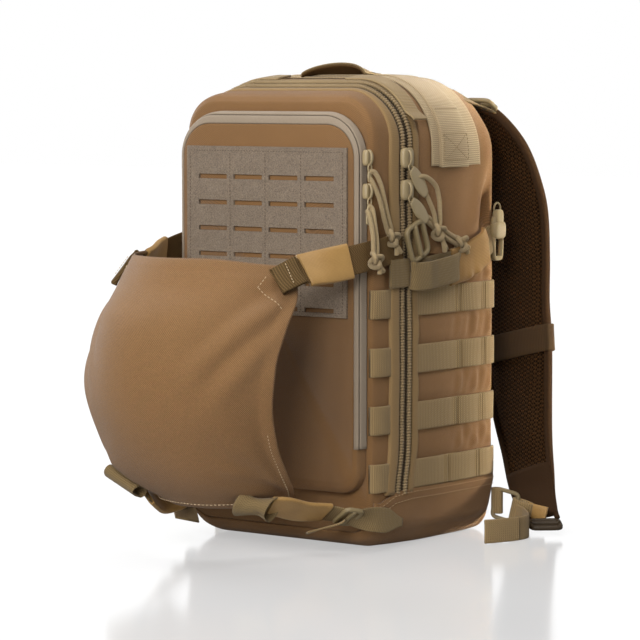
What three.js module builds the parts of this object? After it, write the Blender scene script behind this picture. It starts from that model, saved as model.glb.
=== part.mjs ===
import * as THREE from "three";

// A small assault pack with a front carrier flap. Millimetres, Z up, the base on Z = 0,
// the carrier flap toward -Y and the wearer's back toward +Y.

// Driving dimensions.
const CLOTH = 2;
const WEBBING_WIDTH = 25.4;
const WEBBING = 1.8;
const GAP = 0.5;
const CORNER_STEPS = 6;

// Outer surface of the body: a rounded rectangle across the pack at each depth.
const BODY = [
  { y: -92, half: 98.5, low: 26, high: 394, lowRadius: 22, highRadius: 42 },
  { y: -89, half: 102.5, low: 17, high: 400, lowRadius: 25, highRadius: 46 },
  { y: -82, half: 104.5, low: 9, high: 403.5, lowRadius: 28, highRadius: 49 },
  { y: -62, half: 105.5, low: 3.5, high: 406.5, lowRadius: 28, highRadius: 51 },
  { y: -36, half: 106, low: 3, high: 410, lowRadius: 28, highRadius: 53 },
  { y: 10, half: 107, low: 3, high: 417, lowRadius: 28, highRadius: 58 },
  { y: 60, half: 107, low: 3, high: 416, lowRadius: 28, highRadius: 58 },
  { y: 88, half: 105.5, low: 5, high: 410, lowRadius: 28, highRadius: 56 },
  { y: 98, half: 101.5, low: 12, high: 402, lowRadius: 26, highRadius: 52 },
  { y: 102, half: 92, low: 22, high: 391, lowRadius: 22, highRadius: 46 },
];
const FRONT_RIM = -62;
const REAR_RIM = -36;

// Front pocket, a shallow bowl on the front panel.
const POCKET = [
  { y: -106.5, half: 94, low: 62, high: 372, lowRadius: 14, highRadius: 28 },
  { y: -104.5, half: 97, low: 56, high: 378.5, lowRadius: 18, highRadius: 34 },
  { y: -100, half: 98, low: 52, high: 382, lowRadius: 20, highRadius: 38 },
  { y: -92.6, half: 98, low: 52, high: 383, lowRadius: 20, highRadius: 39 },
];
const POCKET_ZIPPER = { near: -100, far: -93.4, end: 90 };

// Slotted loop panel on the pocket.
const PANEL = { half: 89, top: 353.5, bottom: 206, thick: 2 };
const SLOT = { columns: 4, rows: 6, pitch: 39.5, step: 23, first: 27, length: 32, height: 4.2 };

// Upper edges of the webbing rows on each side.
const ROW_TOPS = [230, 179.2, 128.4, 77.6];
const ROW_DEPTHS = [-28, 10, 60, 88, 95];
const GUSSET_ROW = { near: -88.5, seam: -70, spine: -66 };

// Base panel: how high its edge stands on the sides at each depth.
const BASE_EDGE = [
  { y: -89, edge: 44 },
  { y: -82, edge: 40 },
  { y: -62, edge: 47 },
  { y: -36, edge: 49 },
  { y: 10, edge: 50 },
  { y: 60, edge: 51 },
  { y: 88, edge: 51.5 },
  { y: 98, edge: 51.5 },
];
const BASE_OFFSET = 3;
const ZIPPER_END = 53;

// Bands over the top.
const TOP_BAND = { near: -8, far: 66, end: 336 };
const CORNER_STRAP = { near: -33, far: -9.5, end: 362, inner: 22 };

// Compression strap along each side: height of its middle at each depth.
const SIDE_STRAP = [
  { y: -73, mid: 243.4 },
  { y: -62, mid: 243.5 },
  { y: -36, mid: 243.8 },
  { y: 10, mid: 244.5 },
  { y: 40, mid: 249 },
  { y: 60, mid: 255.5 },
  { y: 88, mid: 266 },
];

// Carrier flap, part of an ellipsoid: the half angle that it covers at each height.
const DOME = { y: -112, z: 165, a: 129, b: 190, c: 140 };
const FLAP = [
  { z: 46, edge: 68 },
  { z: 60, edge: 64 },
  { z: 80, edge: 58.5 },
  { z: 106, edge: 54 },
  { z: 140, edge: 52 },
  { z: 175, edge: 53 },
  { z: 210, edge: 57 },
  { z: 238, edge: 62 },
  { z: 262, edge: 63 },
];
const FLAP_COLUMNS = 14;

// Shoulder strap pad: its centre line, width and thickness from the top to the tip.
const PAD = [
  { x: 51, y: 113.5, z: 385, width: 40, thick: 10 },
  { x: 57, y: 120, z: 380.5, width: 48, thick: 11 },
  { x: 64.5, y: 129, z: 369, width: 60, thick: 11 },
  { x: 77, y: 141, z: 345, width: 66, thick: 11 },
  { x: 86, y: 150, z: 315, width: 66, thick: 11 },
  { x: 88.5, y: 157, z: 288, width: 66, thick: 11 },
  { x: 88, y: 161, z: 247, width: 66, thick: 11 },
  { x: 88, y: 161, z: 206, width: 66, thick: 11 },
  { x: 92, y: 160, z: 166, width: 65, thick: 11 },
  { x: 97, y: 156, z: 112, width: 61, thick: 11 },
  { x: 108, y: 149, z: 70, width: 50, thick: 10 },
  { x: 120, y: 139, z: 40, width: 44, thick: 8 },
  { x: 134, y: 127, z: 22, width: 34, thick: 5 },
  { x: 147, y: 114, z: 15, width: 28, thick: 3 },
  { x: 157, y: 102.5, z: 12, width: 27, thick: 3 },
];
const KEEPER = { from: 0.545, to: 0.585 };

// Grab handle along X, and the back panel.
const HANDLE = { y: 5, width: 25.4, thick: 3.6, half: 45, foot: 421.4, peak: 427.6 };
const BACK_PANEL = { half: 88, low: 42, high: 368, radius: 34, from: 102.6, thick: 9 };

// Plastic frames: width, length, thickness and slots; middle; way of the bars; way that they face.
const BUCKLES = [
  {
    name: "side_buckle", size: [42, 18, 4.5, 1], at: [105.4, 99.4, 269],
    bars: [0, 0, 1], facing: [1, 0.25, 0],
  },
  {
    name: "ladder_lock", size: [34, 30, 4, 2], at: [113.7, -39.4, 271],
    bars: [0, -0.4, 1], facing: [1, 0, 0],
  },
  {
    name: "lower_buckle", size: [30, 22, 4, 1], at: [99.3, -110.8, 34.5],
    bars: [-0.1, 0, 1], facing: [0.8, -0.6, 0],
  },
  {
    name: "lifter_buckle", size: [28, 20, 4, 2], at: [81, 116.6, 398.6],
    bars: [1, -0.1, -0.05], facing: [0.05, 0.5, 0.86],
  },
  {
    name: "strap_lock", size: [30, 26, 4, 2], at: [165.4, 91.5, 9.6],
    bars: [0.75, 0.65, 0], facing: [0.1, -0.12, 1],
  },
];

// Zip sliders: side of the plate, place of the head, turn of the pull plate and its length.
const SLIDERS = [
  { name: "main_slider_upper", x: 107.6, y: -49, z: 344, turn: 48, length: 36 },
  { name: "main_slider_lower", x: 107.6, y: -49, z: 316, turn: 54, length: 36 },
  { name: "pocket_slider_upper", x: 100.4, y: -97, z: 346, turn: 0, length: 14 },
  { name: "pocket_slider_lower", x: 100.4, y: -97, z: 316, turn: -8, length: 22 },
];
const SLIDER = { half: 5, tall: 14, thick: 2.4 };

// Pull cords: a loop from the pull plate down to the knot and back.
const CORD = { diameter: 3, sides: 8, steps: 22 };
const CORDS = [
  {
    name: "main_cord_upper",
    route: [
      [111.9, -37, 327], [114.5, -26, 327], [115.2, -12, 319], [114.8, -6, 307], [114.3, -4, 294],
      [114, -3.5, 285.5], [114, -6.5, 281.5], [114, -9.6, 285.5], [113.8, -13, 296], [111.9, -24, 314.5],
    ],
  },
  {
    name: "main_cord_lower",
    route: [
      [111.9, -26, 294], [111.6, -17, 290.5], [110.4, -8, 286.5], [110.2, 4, 280.5], [110.6, 18, 274.5],
      [111.2, 28, 270.5], [111.2, 31, 267.5], [111.2, 28, 265.5], [110.6, 18, 269], [110.2, 4, 275.5],
      [110.4, -8, 281.5], [111.6, -18, 286.5], [111.9, -25, 290],
    ],
  },
  {
    name: "pocket_cord_upper",
    route: [
      [104.6, -97, 333], [107.6, -92.5, 332], [109.6, -86.5, 321], [109.8, -81, 306], [109.8, -75, 290],
      [109.8, -71.5, 282], [109.8, -73.5, 278.5], [109.8, -77, 281], [109.8, -82, 292],
      [109.6, -88, 308], [107.6, -94, 321], [104.6, -96.5, 328],
    ],
  },
  {
    name: "pocket_cord_lower",
    route: [
      [104.5, -98, 303.5], [107.5, -96.5, 301], [110.5, -97.5, 290], [113.2, -98, 276], [113.8, -98, 264],
      [113.8, -100.5, 260.5], [113.8, -103, 264], [113.2, -103, 278], [110.4, -102.5, 290],
      [107.5, -101.5, 297], [104.5, -100, 299],
    ],
  },
];

// Finishes: colour, roughness, metalness.
const FINISH = {
  fabric: { color: 0x8a6844, roughness: 0.9 },
  shade: { color: 0x6e5234, roughness: 0.92 },
  webbing: { color: 0x93805f, roughness: 0.88 },
  loop: { color: 0x87735f, roughness: 0.97 },
  zipper: { color: 0x6f5c3f, roughness: 0.8 },
  tape: { color: 0x978874, roughness: 0.88 },
  mesh: { color: 0x3a2a1a, roughness: 0.95 },
  plastic: { color: 0x7d6d4e, roughness: 0.5 },
  slider: { color: 0x7a694a, roughness: 0.55 },
  cord: { color: 0x9a8965, roughness: 0.9 },
};

const pack = new THREE.Group();
pack.name = "tactical_backpack";

function add(name, geometry, finish, side = 1) {
  const material = new THREE.MeshStandardMaterial({ metalness: 0, ...FINISH[finish] });
  const mesh = new THREE.Mesh(geometry, material);
  mesh.name = name;
  mesh.scale.x = side;
  pack.add(mesh);
}

function addPair(name, geometry, finish) {
  add(`${name}_right`, geometry, finish);
  add(`${name}_left`, geometry.clone(), finish, -1);
}

// Closed surface from points and triangles, turned so that its faces look out.
function surface(points, triangles) {
  let volume = 0;
  for (const [a, b, c] of triangles) {
    volume += points[a].dot(new THREE.Vector3().crossVectors(points[b], points[c]));
  }
  const facing = volume > 0 ? triangles : triangles.map(([a, b, c]) => [a, c, b]);
  const geometry = new THREE.BufferGeometry();
  const numbers = points.flatMap((p) => p.toArray());
  geometry.setAttribute("position", new THREE.Float32BufferAttribute(numbers, 3));
  geometry.setIndex(facing.flat());
  geometry.computeVertexNormals();
  return geometry;
}

// Sheet between two grids of points of the same size.
function slab(outer, inner) {
  const rows = outer.length;
  const columns = outer[0].length;
  const points = [...outer.flat(), ...inner.flat()];
  const top = (i, j) => i * columns + j;
  const under = (i, j) => rows * columns + i * columns + j;
  const triangles = [];
  const quad = (a, b, c, d) => triangles.push([a, b, c], [a, c, d]);
  for (let i = 0; i < rows - 1; i++) {
    for (let j = 0; j < columns - 1; j++) {
      quad(top(i, j), top(i, j + 1), top(i + 1, j + 1), top(i + 1, j));
      quad(under(i, j), under(i + 1, j), under(i + 1, j + 1), under(i, j + 1));
    }
    quad(top(i, 0), top(i + 1, 0), under(i + 1, 0), under(i, 0));
    quad(top(i, columns - 1), under(i, columns - 1), under(i + 1, columns - 1), top(i + 1, columns - 1));
  }
  for (let j = 0; j < columns - 1; j++) {
    quad(top(0, j), under(0, j), under(0, j + 1), top(0, j + 1));
    quad(top(rows - 1, j), top(rows - 1, j + 1), under(rows - 1, j + 1), under(rows - 1, j));
  }
  return surface(points, triangles);
}

// Closed rings joined in turn, with a fan over each end, or joined round into a hoop.
function loft(rings, hoop = false) {
  const count = rings[0].length;
  const points = rings.flat();
  const triangles = [];
  const spans = hoop ? rings.length : rings.length - 1;
  for (let i = 0; i < spans; i++) {
    const a = i * count;
    const b = ((i + 1) % rings.length) * count;
    for (let j = 0; j < count; j++) {
      const k = (j + 1) % count;
      triangles.push([a + j, a + k, b + k], [a + j, b + k, b + j]);
    }
  }
  if (hoop) {
    return surface(points, triangles);
  }
  for (const [ring, turn] of [[0, false], [rings.length - 1, true]]) {
    const centre = points.length;
    const middle = new THREE.Vector3();
    rings[ring].forEach((p) => middle.addScaledVector(p, 1 / count));
    points.push(middle);
    for (let j = 0; j < count; j++) {
      const a = ring * count + j;
      const b = ring * count + ((j + 1) % count);
      triangles.push(turn ? [centre, a, b] : [centre, b, a]);
    }
  }
  return surface(points, triangles);
}

// Row of a table at any depth, between its two neighbours.
function between(table, y) {
  const last = table.length - 2;
  let i = table.findIndex((row, k) => k <= last && y <= table[k + 1].y);
  i = i < 0 ? last : i;
  const share = (y - table[i].y) / (table[i + 1].y - table[i].y);
  const row = {};
  for (const key of Object.keys(table[i])) {
    row[key] = THREE.MathUtils.lerp(table[i][key], table[i + 1][key], share);
  }
  return row;
}

// One rounded corner of a section, as points at a depth y.
function corner(section, y, offset, side, upper, from, to) {
  const radius = (upper ? section.highRadius : section.lowRadius) + offset;
  const x = side * (section.half + offset - radius);
  const z = upper ? section.high + offset - radius : section.low - offset + radius;
  const points = [];
  for (let i = 0; i <= CORNER_STEPS; i++) {
    const angle = THREE.MathUtils.degToRad(from + ((to - from) * i) / CORNER_STEPS);
    points.push(new THREE.Vector3(x + radius * Math.cos(angle), y, z + radius * Math.sin(angle)));
  }
  return points;
}

function outline(section, y, offset) {
  return [
    ...corner(section, y, offset, 1, false, -90, 0),
    ...corner(section, y, offset, 1, true, 0, 90),
    ...corner(section, y, offset, -1, true, 90, 180),
    ...corner(section, y, offset, -1, false, 180, 270),
  ];
}

// Line over the top from a height on one side to the same height on the other.
function arch(table, y, offset, end) {
  const section = between(table, y);
  const x = section.half + offset;
  return [
    new THREE.Vector3(x, y, end),
    ...corner(section, y, offset, 1, true, 0, 90),
    ...corner(section, y, offset, -1, true, 90, 180),
    new THREE.Vector3(-x, y, end),
  ];
}

// Line over one corner from a height on the side to a place on the top.
function halfArch(table, y, offset, end, inner) {
  const section = between(table, y);
  return [
    new THREE.Vector3(section.half + offset, y, end),
    ...corner(section, y, offset, 1, true, 0, 90),
    new THREE.Vector3(inner, y, section.high + offset),
  ];
}

// Line under the bottom from a height on one side to the same height on the other.
function trough(table, y, offset, edge) {
  const section = between(table, y);
  const x = section.half + offset;
  return [
    new THREE.Vector3(x, y, edge),
    ...corner(section, y, offset, 1, false, 0, -90),
    ...corner(section, y, offset, -1, false, 270, 180),
    new THREE.Vector3(-x, y, edge),
  ];
}

// Open bowl: the rows of a table from the face to the rim, and the same rows inside the wall.
function bowl(rows, rim) {
  const face = rows[0].y;
  const reach = (Math.abs(face - rim) - CLOTH) / Math.abs(face - rim);
  const outer = rows.map((row) => outline(row, row.y, 0));
  const inner = rows.map((row) => outline(row, rim + (row.y - rim) * reach, -CLOTH));
  return loft([...outer, ...inner.reverse()]);
}

function rearShell() {
  const rows = BODY.filter((row) => row.y >= REAR_RIM).reverse();
  return bowl(rows, REAR_RIM);
}

function frontShell() {
  const rows = BODY.filter((row) => row.y <= FRONT_RIM);
  return bowl(rows, FRONT_RIM);
}

function frontPocket() {
  return bowl(POCKET, POCKET[POCKET.length - 1].y);
}

// Depths of a strip: its two edges and the rows of the table between them.
function depths(table, near, far) {
  return [near, ...table.map((row) => row.y).filter((y) => y > near + 0.5 && y < far - 0.5), far];
}

// Strip over the top between two depths.
function overTop(table, near, far, end, inside, outside) {
  const line = (offset) => depths(table, near, far).map((y) => arch(table, y, offset, end));
  return slab(line(outside), line(inside));
}

function cornerStrap() {
  const { near, far, end, inner } = CORNER_STRAP;
  const line = (offset) => [near, far].map((y) => halfArch(BODY, y, offset, end, inner));
  return slab(line(GAP + WEBBING), line(GAP));
}

function basePanel() {
  const line = (offset) => BASE_EDGE.map((row) => trough(BODY, row.y, offset, row.edge));
  return slab(line(BASE_OFFSET), line(GAP));
}

function loopPanel() {
  const { half, top, bottom, thick } = PANEL;
  const across = [-half];
  for (let column = 0; column < SLOT.columns; column++) {
    const x = (column - (SLOT.columns - 1) / 2) * SLOT.pitch;
    across.push(x - SLOT.length / 2, x + SLOT.length / 2);
  }
  across.push(half);
  const up = [bottom];
  for (let row = SLOT.rows - 1; row >= 0; row--) {
    const z = top - SLOT.first - row * SLOT.step;
    up.push(z - SLOT.height / 2, z + SLOT.height / 2);
  }
  up.push(top);
  const back = POCKET[0].y - GAP;
  const grid = (y) => up.flatMap((z) => across.map((x) => new THREE.Vector3(x, y, z)));
  const face = (i, j) => i * across.length + j;
  const under = (i, j) => (up.length + i) * across.length + j;
  const inside = (i, j) => i >= 0 && j >= 0 && i < up.length - 1 && j < across.length - 1;
  const solid = (i, j) => inside(i, j) && !(i % 2 === 1 && j % 2 === 1);
  const triangles = [];
  const quad = (a, b, c, d) => triangles.push([a, b, c], [a, c, d]);
  const wall = (a, b, c, d) => quad(face(...a), face(...b), under(...c), under(...d));
  for (let i = 0; i < up.length - 1; i++) {
    for (let j = 0; j < across.length - 1; j++) {
      if (!solid(i, j)) continue;
      const [low, right, far, left] = [[i, j], [i, j + 1], [i + 1, j + 1], [i + 1, j]];
      quad(face(...low), face(...right), face(...far), face(...left));
      quad(under(...low), under(...left), under(...far), under(...right));
      if (!solid(i - 1, j)) wall(right, low, low, right);
      if (!solid(i, j + 1)) wall(far, right, right, far);
      if (!solid(i + 1, j)) wall(left, far, far, left);
      if (!solid(i, j - 1)) wall(low, left, left, low);
    }
  }
  return surface([...grid(back - thick), ...grid(back)], triangles);
}

function backPanel() {
  const { half, low, high, radius, from, thick } = BACK_PANEL;
  const section = { half, low, high, lowRadius: radius, highRadius: radius };
  return loft([
    outline(section, from, 0),
    outline(section, from + thick - 3, 0),
    outline(section, from + thick - 1, -1.5),
    outline(section, from + thick, -4),
  ]);
}

// Point on the side of the body.
function sidePoint(y, z, offset) {
  return new THREE.Vector3(between(BODY, y).half + offset, y, z);
}

function sideRow(top) {
  const edges = [top - WEBBING_WIDTH, top];
  const grid = (offset) => edges.map((z) => ROW_DEPTHS.map((y) => sidePoint(y, z, offset)));
  return slab(grid(GAP + WEBBING), grid(GAP));
}

// Short rows on the front gusset, sewn along one seam.
function gussetRows() {
  const { near, seam, spine } = GUSSET_ROW;
  const shape = new THREE.Shape();
  const lowest = ROW_TOPS[ROW_TOPS.length - 1] - WEBBING_WIDTH;
  shape.moveTo(spine, lowest);
  shape.lineTo(spine, ROW_TOPS[0]);
  ROW_TOPS.forEach((top, i) => {
    shape.lineTo(i ? seam : near, top);
    shape.lineTo(near, top);
    shape.lineTo(near, top - WEBBING_WIDTH);
    shape.lineTo(i < ROW_TOPS.length - 1 ? seam : spine, top - WEBBING_WIDTH);
  });
  const geometry = new THREE.ExtrudeGeometry(shape, { depth: WEBBING, bevelEnabled: false });
  geometry.applyMatrix4(new THREE.Matrix4().set(0, 0, 1, 0, 1, 0, 0, 0, 0, 1, 0, 0, 0, 0, 0, 1));
  geometry.translate(sidePoint(spine, 0, GAP).x, 0, 0);
  return geometry;
}

function sideStrap() {
  const half = WEBBING_WIDTH / 2;
  const edge = (rise, offset) => SIDE_STRAP.map((row) => sidePoint(row.y, row.mid + rise, offset));
  const grid = (offset) => [edge(-half, offset), edge(half, offset)];
  return slab(grid(3.3), grid(1.5));
}

// Flat ribbon along a smooth route; each route point has the direction across the ribbon.
function ribbon(route, width, thick, steps) {
  const line = new THREE.CatmullRomCurve3(route.map((p) => new THREE.Vector3(...p.at)));
  const turn = new THREE.CatmullRomCurve3(route.map((p) => new THREE.Vector3(...p.across)));
  const outer = [];
  const inner = [];
  for (let i = 0; i <= steps; i++) {
    const along = line.getTangent(i / steps);
    const across = turn.getPoint(i / steps).projectOnPlane(along).setLength(width / 2);
    const out = new THREE.Vector3().crossVectors(along, across).setLength(thick / 2);
    const at = line.getPoint(i / steps);
    outer.push([-1, 1].map((s) => at.clone().addScaledVector(across, s).add(out)));
    inner.push([-1, 1].map((s) => at.clone().addScaledVector(across, s).sub(out)));
  }
  return slab(outer, inner);
}

function grabHandle() {
  const { y, width, thick, half, foot, peak } = HANDLE;
  const rise = peak - foot;
  const shares = [-1, -0.82, -0.5, 0, 0.5, 0.82, 1];
  const heights = [0, 0.06, 0.68, 1, 0.68, 0.06, 0];
  const route = shares.map((s, i) => ({ at: [s * half, y, foot + rise * heights[i]], across: [0, 1, 0] }));
  return ribbon(route, width, thick, 20);
}

function upperStrap() {
  const route = [
    { at: [110.6, -57, 266], across: [0, 0, 1] },
    { at: [110, -80, 264], across: [0, 0, 1] },
    { at: [107, -108, 261.5], across: [-0.1, 0, 1] },
    { at: [100, -138, 259], across: [-0.25, 0.05, 0.95] },
    { at: [93, -161, 257.5], across: [-0.5, 0.15, 0.85] },
    { at: [88.9, -179.5, 255.8], across: [-0.58, 0.19, 0.78] },
  ];
  return ribbon(route, WEBBING_WIDTH, WEBBING, 10);
}

function lowerStrap() {
  const route = [
    { at: [110.9, -56, 24], across: [0, 0, 1] },
    { at: [110.3, -72, 27], across: [0, 0, 1] },
    { at: [108.2, -89, 30], across: [-0.1, 0, 1] },
    { at: [98, -104, 33], across: [-0.15, 0, 1] },
    { at: [86, -122, 37], across: [0.1, 0.1, 1] },
    { at: [75.5, -141, 43], across: [0.35, -0.1, 0.9] },
    { at: [68.5, -155, 50], across: [0.62, -0.2, 0.75] },
  ];
  return ribbon(route, WEBBING_WIDTH - 3, WEBBING, 12);
}

function loadLifter() {
  const route = [
    { at: [76, 80, 407.2], across: [1, 0, -0.55] },
    { at: [79, 97, 402.5], across: [1, 0, -0.4] },
    { at: [80.5, 113, 395], across: [1, -0.1, -0.1] },
    { at: [81.5, 129, 384.5], across: [1, -0.2, 0.1] },
    { at: [80.5, 143, 370], across: [1, -0.2, 0.2] },
  ];
  return ribbon(route, WEBBING_WIDTH - 4, WEBBING, 10);
}

function lowerWebbing() {
  const route = [
    { at: [105.2, 99, 26], across: [0, 0, 1] },
    { at: [117, 100.5, 23], across: [0, 0, 1] },
    { at: [131, 97.5, 16], across: [0, 0, 1] },
    { at: [144.2, 90.2, 12], across: [0, 0, 1] },
    { at: [160.6, 71, 11.2], across: [0, 0, 1] },
    { at: [166.5, 56, 11.2], across: [0, 0, 1] },
    { at: [163, 34, 11.2], across: [0, 0, 1] },
    { at: [152, 12, 11.2], across: [0, 0, 1] },
  ];
  return ribbon(route, WEBBING_WIDTH - 4, WEBBING, 18);
}

// Plate with cross bars, on XY with its bars along X.
function ladderLock(width, length, thick, slots) {
  const shape = new THREE.Shape();
  const chamfer = 3;
  const x = width / 2;
  const y = length / 2;
  shape.setFromPoints([
    new THREE.Vector2(-x + chamfer, -y), new THREE.Vector2(x - chamfer, -y),
    new THREE.Vector2(x, -y + chamfer), new THREE.Vector2(x, y - chamfer),
    new THREE.Vector2(x - chamfer, y), new THREE.Vector2(-x + chamfer, y),
    new THREE.Vector2(-x, y - chamfer), new THREE.Vector2(-x, -y + chamfer),
  ]);
  const bar = 3.6;
  const open = (length - bar * (slots + 1)) / slots;
  for (let i = 0; i < slots; i++) {
    const low = -y + bar + i * (open + bar);
    const hole = new THREE.Path();
    hole.moveTo(-x + bar, low);
    hole.lineTo(x - bar, low);
    hole.lineTo(x - bar, low + open);
    hole.lineTo(-x + bar, low + open);
    shape.holes.push(hole);
  }
  const geometry = new THREE.ExtrudeGeometry(shape, { depth: thick, bevelEnabled: false });
  geometry.translate(0, 0, -thick / 2);
  return geometry;
}

// Puts a plate in place: its X axis, its Z axis (the way that it faces) and its middle.
function place(geometry, at, axisX, facing) {
  const z = new THREE.Vector3(...facing).normalize();
  const x = new THREE.Vector3(...axisX).projectOnPlane(z).normalize();
  const y = new THREE.Vector3().crossVectors(z, x);
  geometry.applyMatrix4(new THREE.Matrix4().makeBasis(x, y, z).setPosition(...at));
  return geometry;
}

// Point on the carrier flap, or above it.
function flapPoint(z, angle, offset) {
  const reach = Math.sqrt(1 - ((z - DOME.z) / DOME.c) ** 2);
  const turn = THREE.MathUtils.degToRad(angle);
  const x = DOME.a * reach * Math.sin(turn);
  const y = -DOME.b * reach * Math.cos(turn);
  const out = new THREE.Vector3(x / DOME.a ** 2, y / DOME.b ** 2, (z - DOME.z) / DOME.c ** 2);
  return new THREE.Vector3(x, DOME.y + y, z).addScaledVector(out.normalize(), offset);
}

function carrierFlap() {
  const grid = (offset) => FLAP.map((row) => {
    const line = [];
    for (let i = 0; i <= FLAP_COLUMNS; i++) {
      line.push(flapPoint(row.z, row.edge * ((2 * i) / FLAP_COLUMNS - 1), offset));
    }
    return line;
  });
  return slab(grid(0), grid(-CLOTH));
}

// Piece of webbing lying on the flap.
function flapLoop(heights, angles) {
  const grid = (offset) => heights.map((z) => angles.map((angle) => flapPoint(z, angle, offset)));
  return slab(grid(1 + WEBBING), grid(1));
}

// Section of the shoulder pad at a share of its length, grown all round.
const padLine = new THREE.CatmullRomCurve3(PAD.map((row) => new THREE.Vector3(row.x, row.y, row.z)));
function padRing(share, grow) {
  const at = padLine.getPoint(share);
  const along = padLine.getTangent(share);
  const place = share * (PAD.length - 1);
  const row = PAD[Math.min(Math.floor(place), PAD.length - 2)];
  const next = PAD[Math.min(Math.floor(place) + 1, PAD.length - 1)];
  const part = Math.min(place - Math.floor(place) + (place >= PAD.length - 1 ? 1 : 0), 1);
  const width = THREE.MathUtils.lerp(row.width, next.width, part) / 2 + grow;
  const thick = THREE.MathUtils.lerp(row.thick, next.thick, part) / 2 + grow;
  const across = new THREE.Vector3(1, 0, 0).projectOnPlane(along).normalize();
  const out = new THREE.Vector3().crossVectors(across, along);
  const upper = [[1, 0.4], [0.9, 1], [0, 1], [-0.9, 1], [-1, 0.4]];
  const profile = [...upper, ...upper.map(([u, v]) => [-u, -v])];
  const edge = ([u, v]) => at.clone().addScaledVector(across, u * width).addScaledVector(out, v * thick);
  return profile.map(edge);
}

function shoulderStrap() {
  const rings = [];
  const steps = 24;
  for (let i = 0; i <= steps; i++) {
    rings.push(padRing(i / steps, 0));
  }
  return loft(rings);
}

function keeperBand() {
  const { from, to } = KEEPER;
  return loft([padRing(from, 2.2), padRing(to, 2.2), padRing(to, 0.6), padRing(from, 0.6)], true);
}

// Slider head with its leaf-shaped pull plate, lying on the side.
function slider(row) {
  const { half, tall, thick } = SLIDER;
  const turn = THREE.MathUtils.degToRad(row.turn);
  const along = new THREE.Vector2(Math.sin(turn), -Math.cos(turn));
  const across = new THREE.Vector2(Math.cos(turn), Math.sin(turn));
  const neck = new THREE.Vector2(0, -tall / 2);
  const leaf = [[0.12, 2.2], [0.3, 4.6], [0.6, 5], [0.85, 3.8], [1, 1.6]];
  const edge = (sign) => leaf.map(([share, width]) => (
    neck.clone().addScaledVector(along, share * row.length).addScaledVector(across, sign * width)
  ));
  const head = [[half, tall / 2], [half, -tall / 2 + 2], [1.8, -tall / 2]];
  const flank = (sign) => head.map(([x, y]) => new THREE.Vector2(sign * x, y));
  const shape = new THREE.Shape([
    ...flank(-1), ...edge(-1), ...edge(1).reverse(), ...flank(1).reverse(),
  ]);
  const geometry = new THREE.ExtrudeGeometry(shape, { depth: thick, bevelEnabled: false });
  geometry.applyMatrix4(new THREE.Matrix4().set(0, 0, 1, 0, 1, 0, 0, 0, 0, 1, 0, 0, 0, 0, 0, 1));
  geometry.translate(row.x, row.y, row.z);
  return geometry;
}

function pullCord(row) {
  const section = new THREE.Shape();
  for (let i = 0; i < CORD.sides; i++) {
    const angle = (2 * Math.PI * i) / CORD.sides;
    const point = [Math.cos(angle) * CORD.diameter / 2, Math.sin(angle) * CORD.diameter / 2];
    if (i) {
      section.lineTo(...point);
    } else {
      section.moveTo(...point);
    }
  }
  const path = new THREE.CatmullRomCurve3(row.route.map((p) => new THREE.Vector3(...p)));
  return new THREE.ExtrudeGeometry(section, { steps: CORD.steps, extrudePath: path, bevelEnabled: false });
}

// Body.
add("rear_shell", rearShell(), "fabric");
add("front_shell", frontShell(), "fabric");
add("main_zipper", overTop(BODY, FRONT_RIM + 0.4, REAR_RIM - 0.4, ZIPPER_END, -CLOTH, 1), "zipper");
add("base_panel", basePanel(), "fabric");
add("front_pocket", frontPocket(), "fabric");
const { near, far, end } = POCKET_ZIPPER;
add("pocket_zipper", overTop(POCKET, near, far, end, GAP, 1.8), "tape");
add("loop_panel", loopPanel(), "loop");
add("back_panel", backPanel(), "shade");

// Top.
add("grab_handle", grabHandle(), "webbing");
add("top_band", overTop(BODY, TOP_BAND.near, TOP_BAND.far, TOP_BAND.end, GAP, GAP + WEBBING), "webbing");
addPair("corner_strap", cornerStrap(), "webbing");

// Sides.
ROW_TOPS.forEach((top, i) => addPair(`side_row_${i + 1}`, sideRow(top), "webbing"));
addPair("gusset_rows", gussetRows(), "webbing");
addPair("side_strap", sideStrap(), "webbing");

// Carrier flap.
add("carrier_flap", carrierFlap(), "fabric");
addPair("flap_loop_upper", flapLoop([236, 247, 258], [47, 54, 61]), "webbing");
addPair("flap_loop_lower", flapLoop([41, 51, 61], [36, 45, 54, 63]), "webbing");
addPair("upper_strap", upperStrap(), "webbing");
addPair("lower_strap", lowerStrap(), "webbing");

// Shoulder straps.
addPair("shoulder_strap", shoulderStrap(), "mesh");
addPair("keeper_band", keeperBand(), "shade");
addPair("load_lifter", loadLifter(), "webbing");
addPair("lower_webbing", lowerWebbing(), "webbing");

// Plastic frames on the straps.
BUCKLES.forEach((row) => {
  addPair(row.name, place(ladderLock(...row.size), row.at, row.bars, row.facing), "plastic");
});

// Zipper pulls.
SLIDERS.forEach((row) => add(row.name, slider(row), "slider"));
CORDS.forEach((row) => add(row.name, pullCord(row), "cord"));

export default pack;
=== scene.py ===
import bpy
import numpy as np
from mathutils import Matrix, Vector


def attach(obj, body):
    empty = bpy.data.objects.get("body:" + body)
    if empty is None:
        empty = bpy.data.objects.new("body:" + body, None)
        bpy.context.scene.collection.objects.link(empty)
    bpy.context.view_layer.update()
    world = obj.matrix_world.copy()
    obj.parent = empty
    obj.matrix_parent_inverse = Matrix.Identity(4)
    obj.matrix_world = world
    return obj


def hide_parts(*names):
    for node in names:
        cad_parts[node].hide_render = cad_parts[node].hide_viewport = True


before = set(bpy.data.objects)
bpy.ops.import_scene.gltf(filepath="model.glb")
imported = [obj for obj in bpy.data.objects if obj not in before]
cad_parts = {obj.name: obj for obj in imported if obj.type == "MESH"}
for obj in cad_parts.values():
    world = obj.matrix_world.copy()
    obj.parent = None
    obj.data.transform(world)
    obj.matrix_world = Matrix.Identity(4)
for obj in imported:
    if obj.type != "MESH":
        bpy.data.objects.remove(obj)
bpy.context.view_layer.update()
scene = bpy.context.scene


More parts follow.
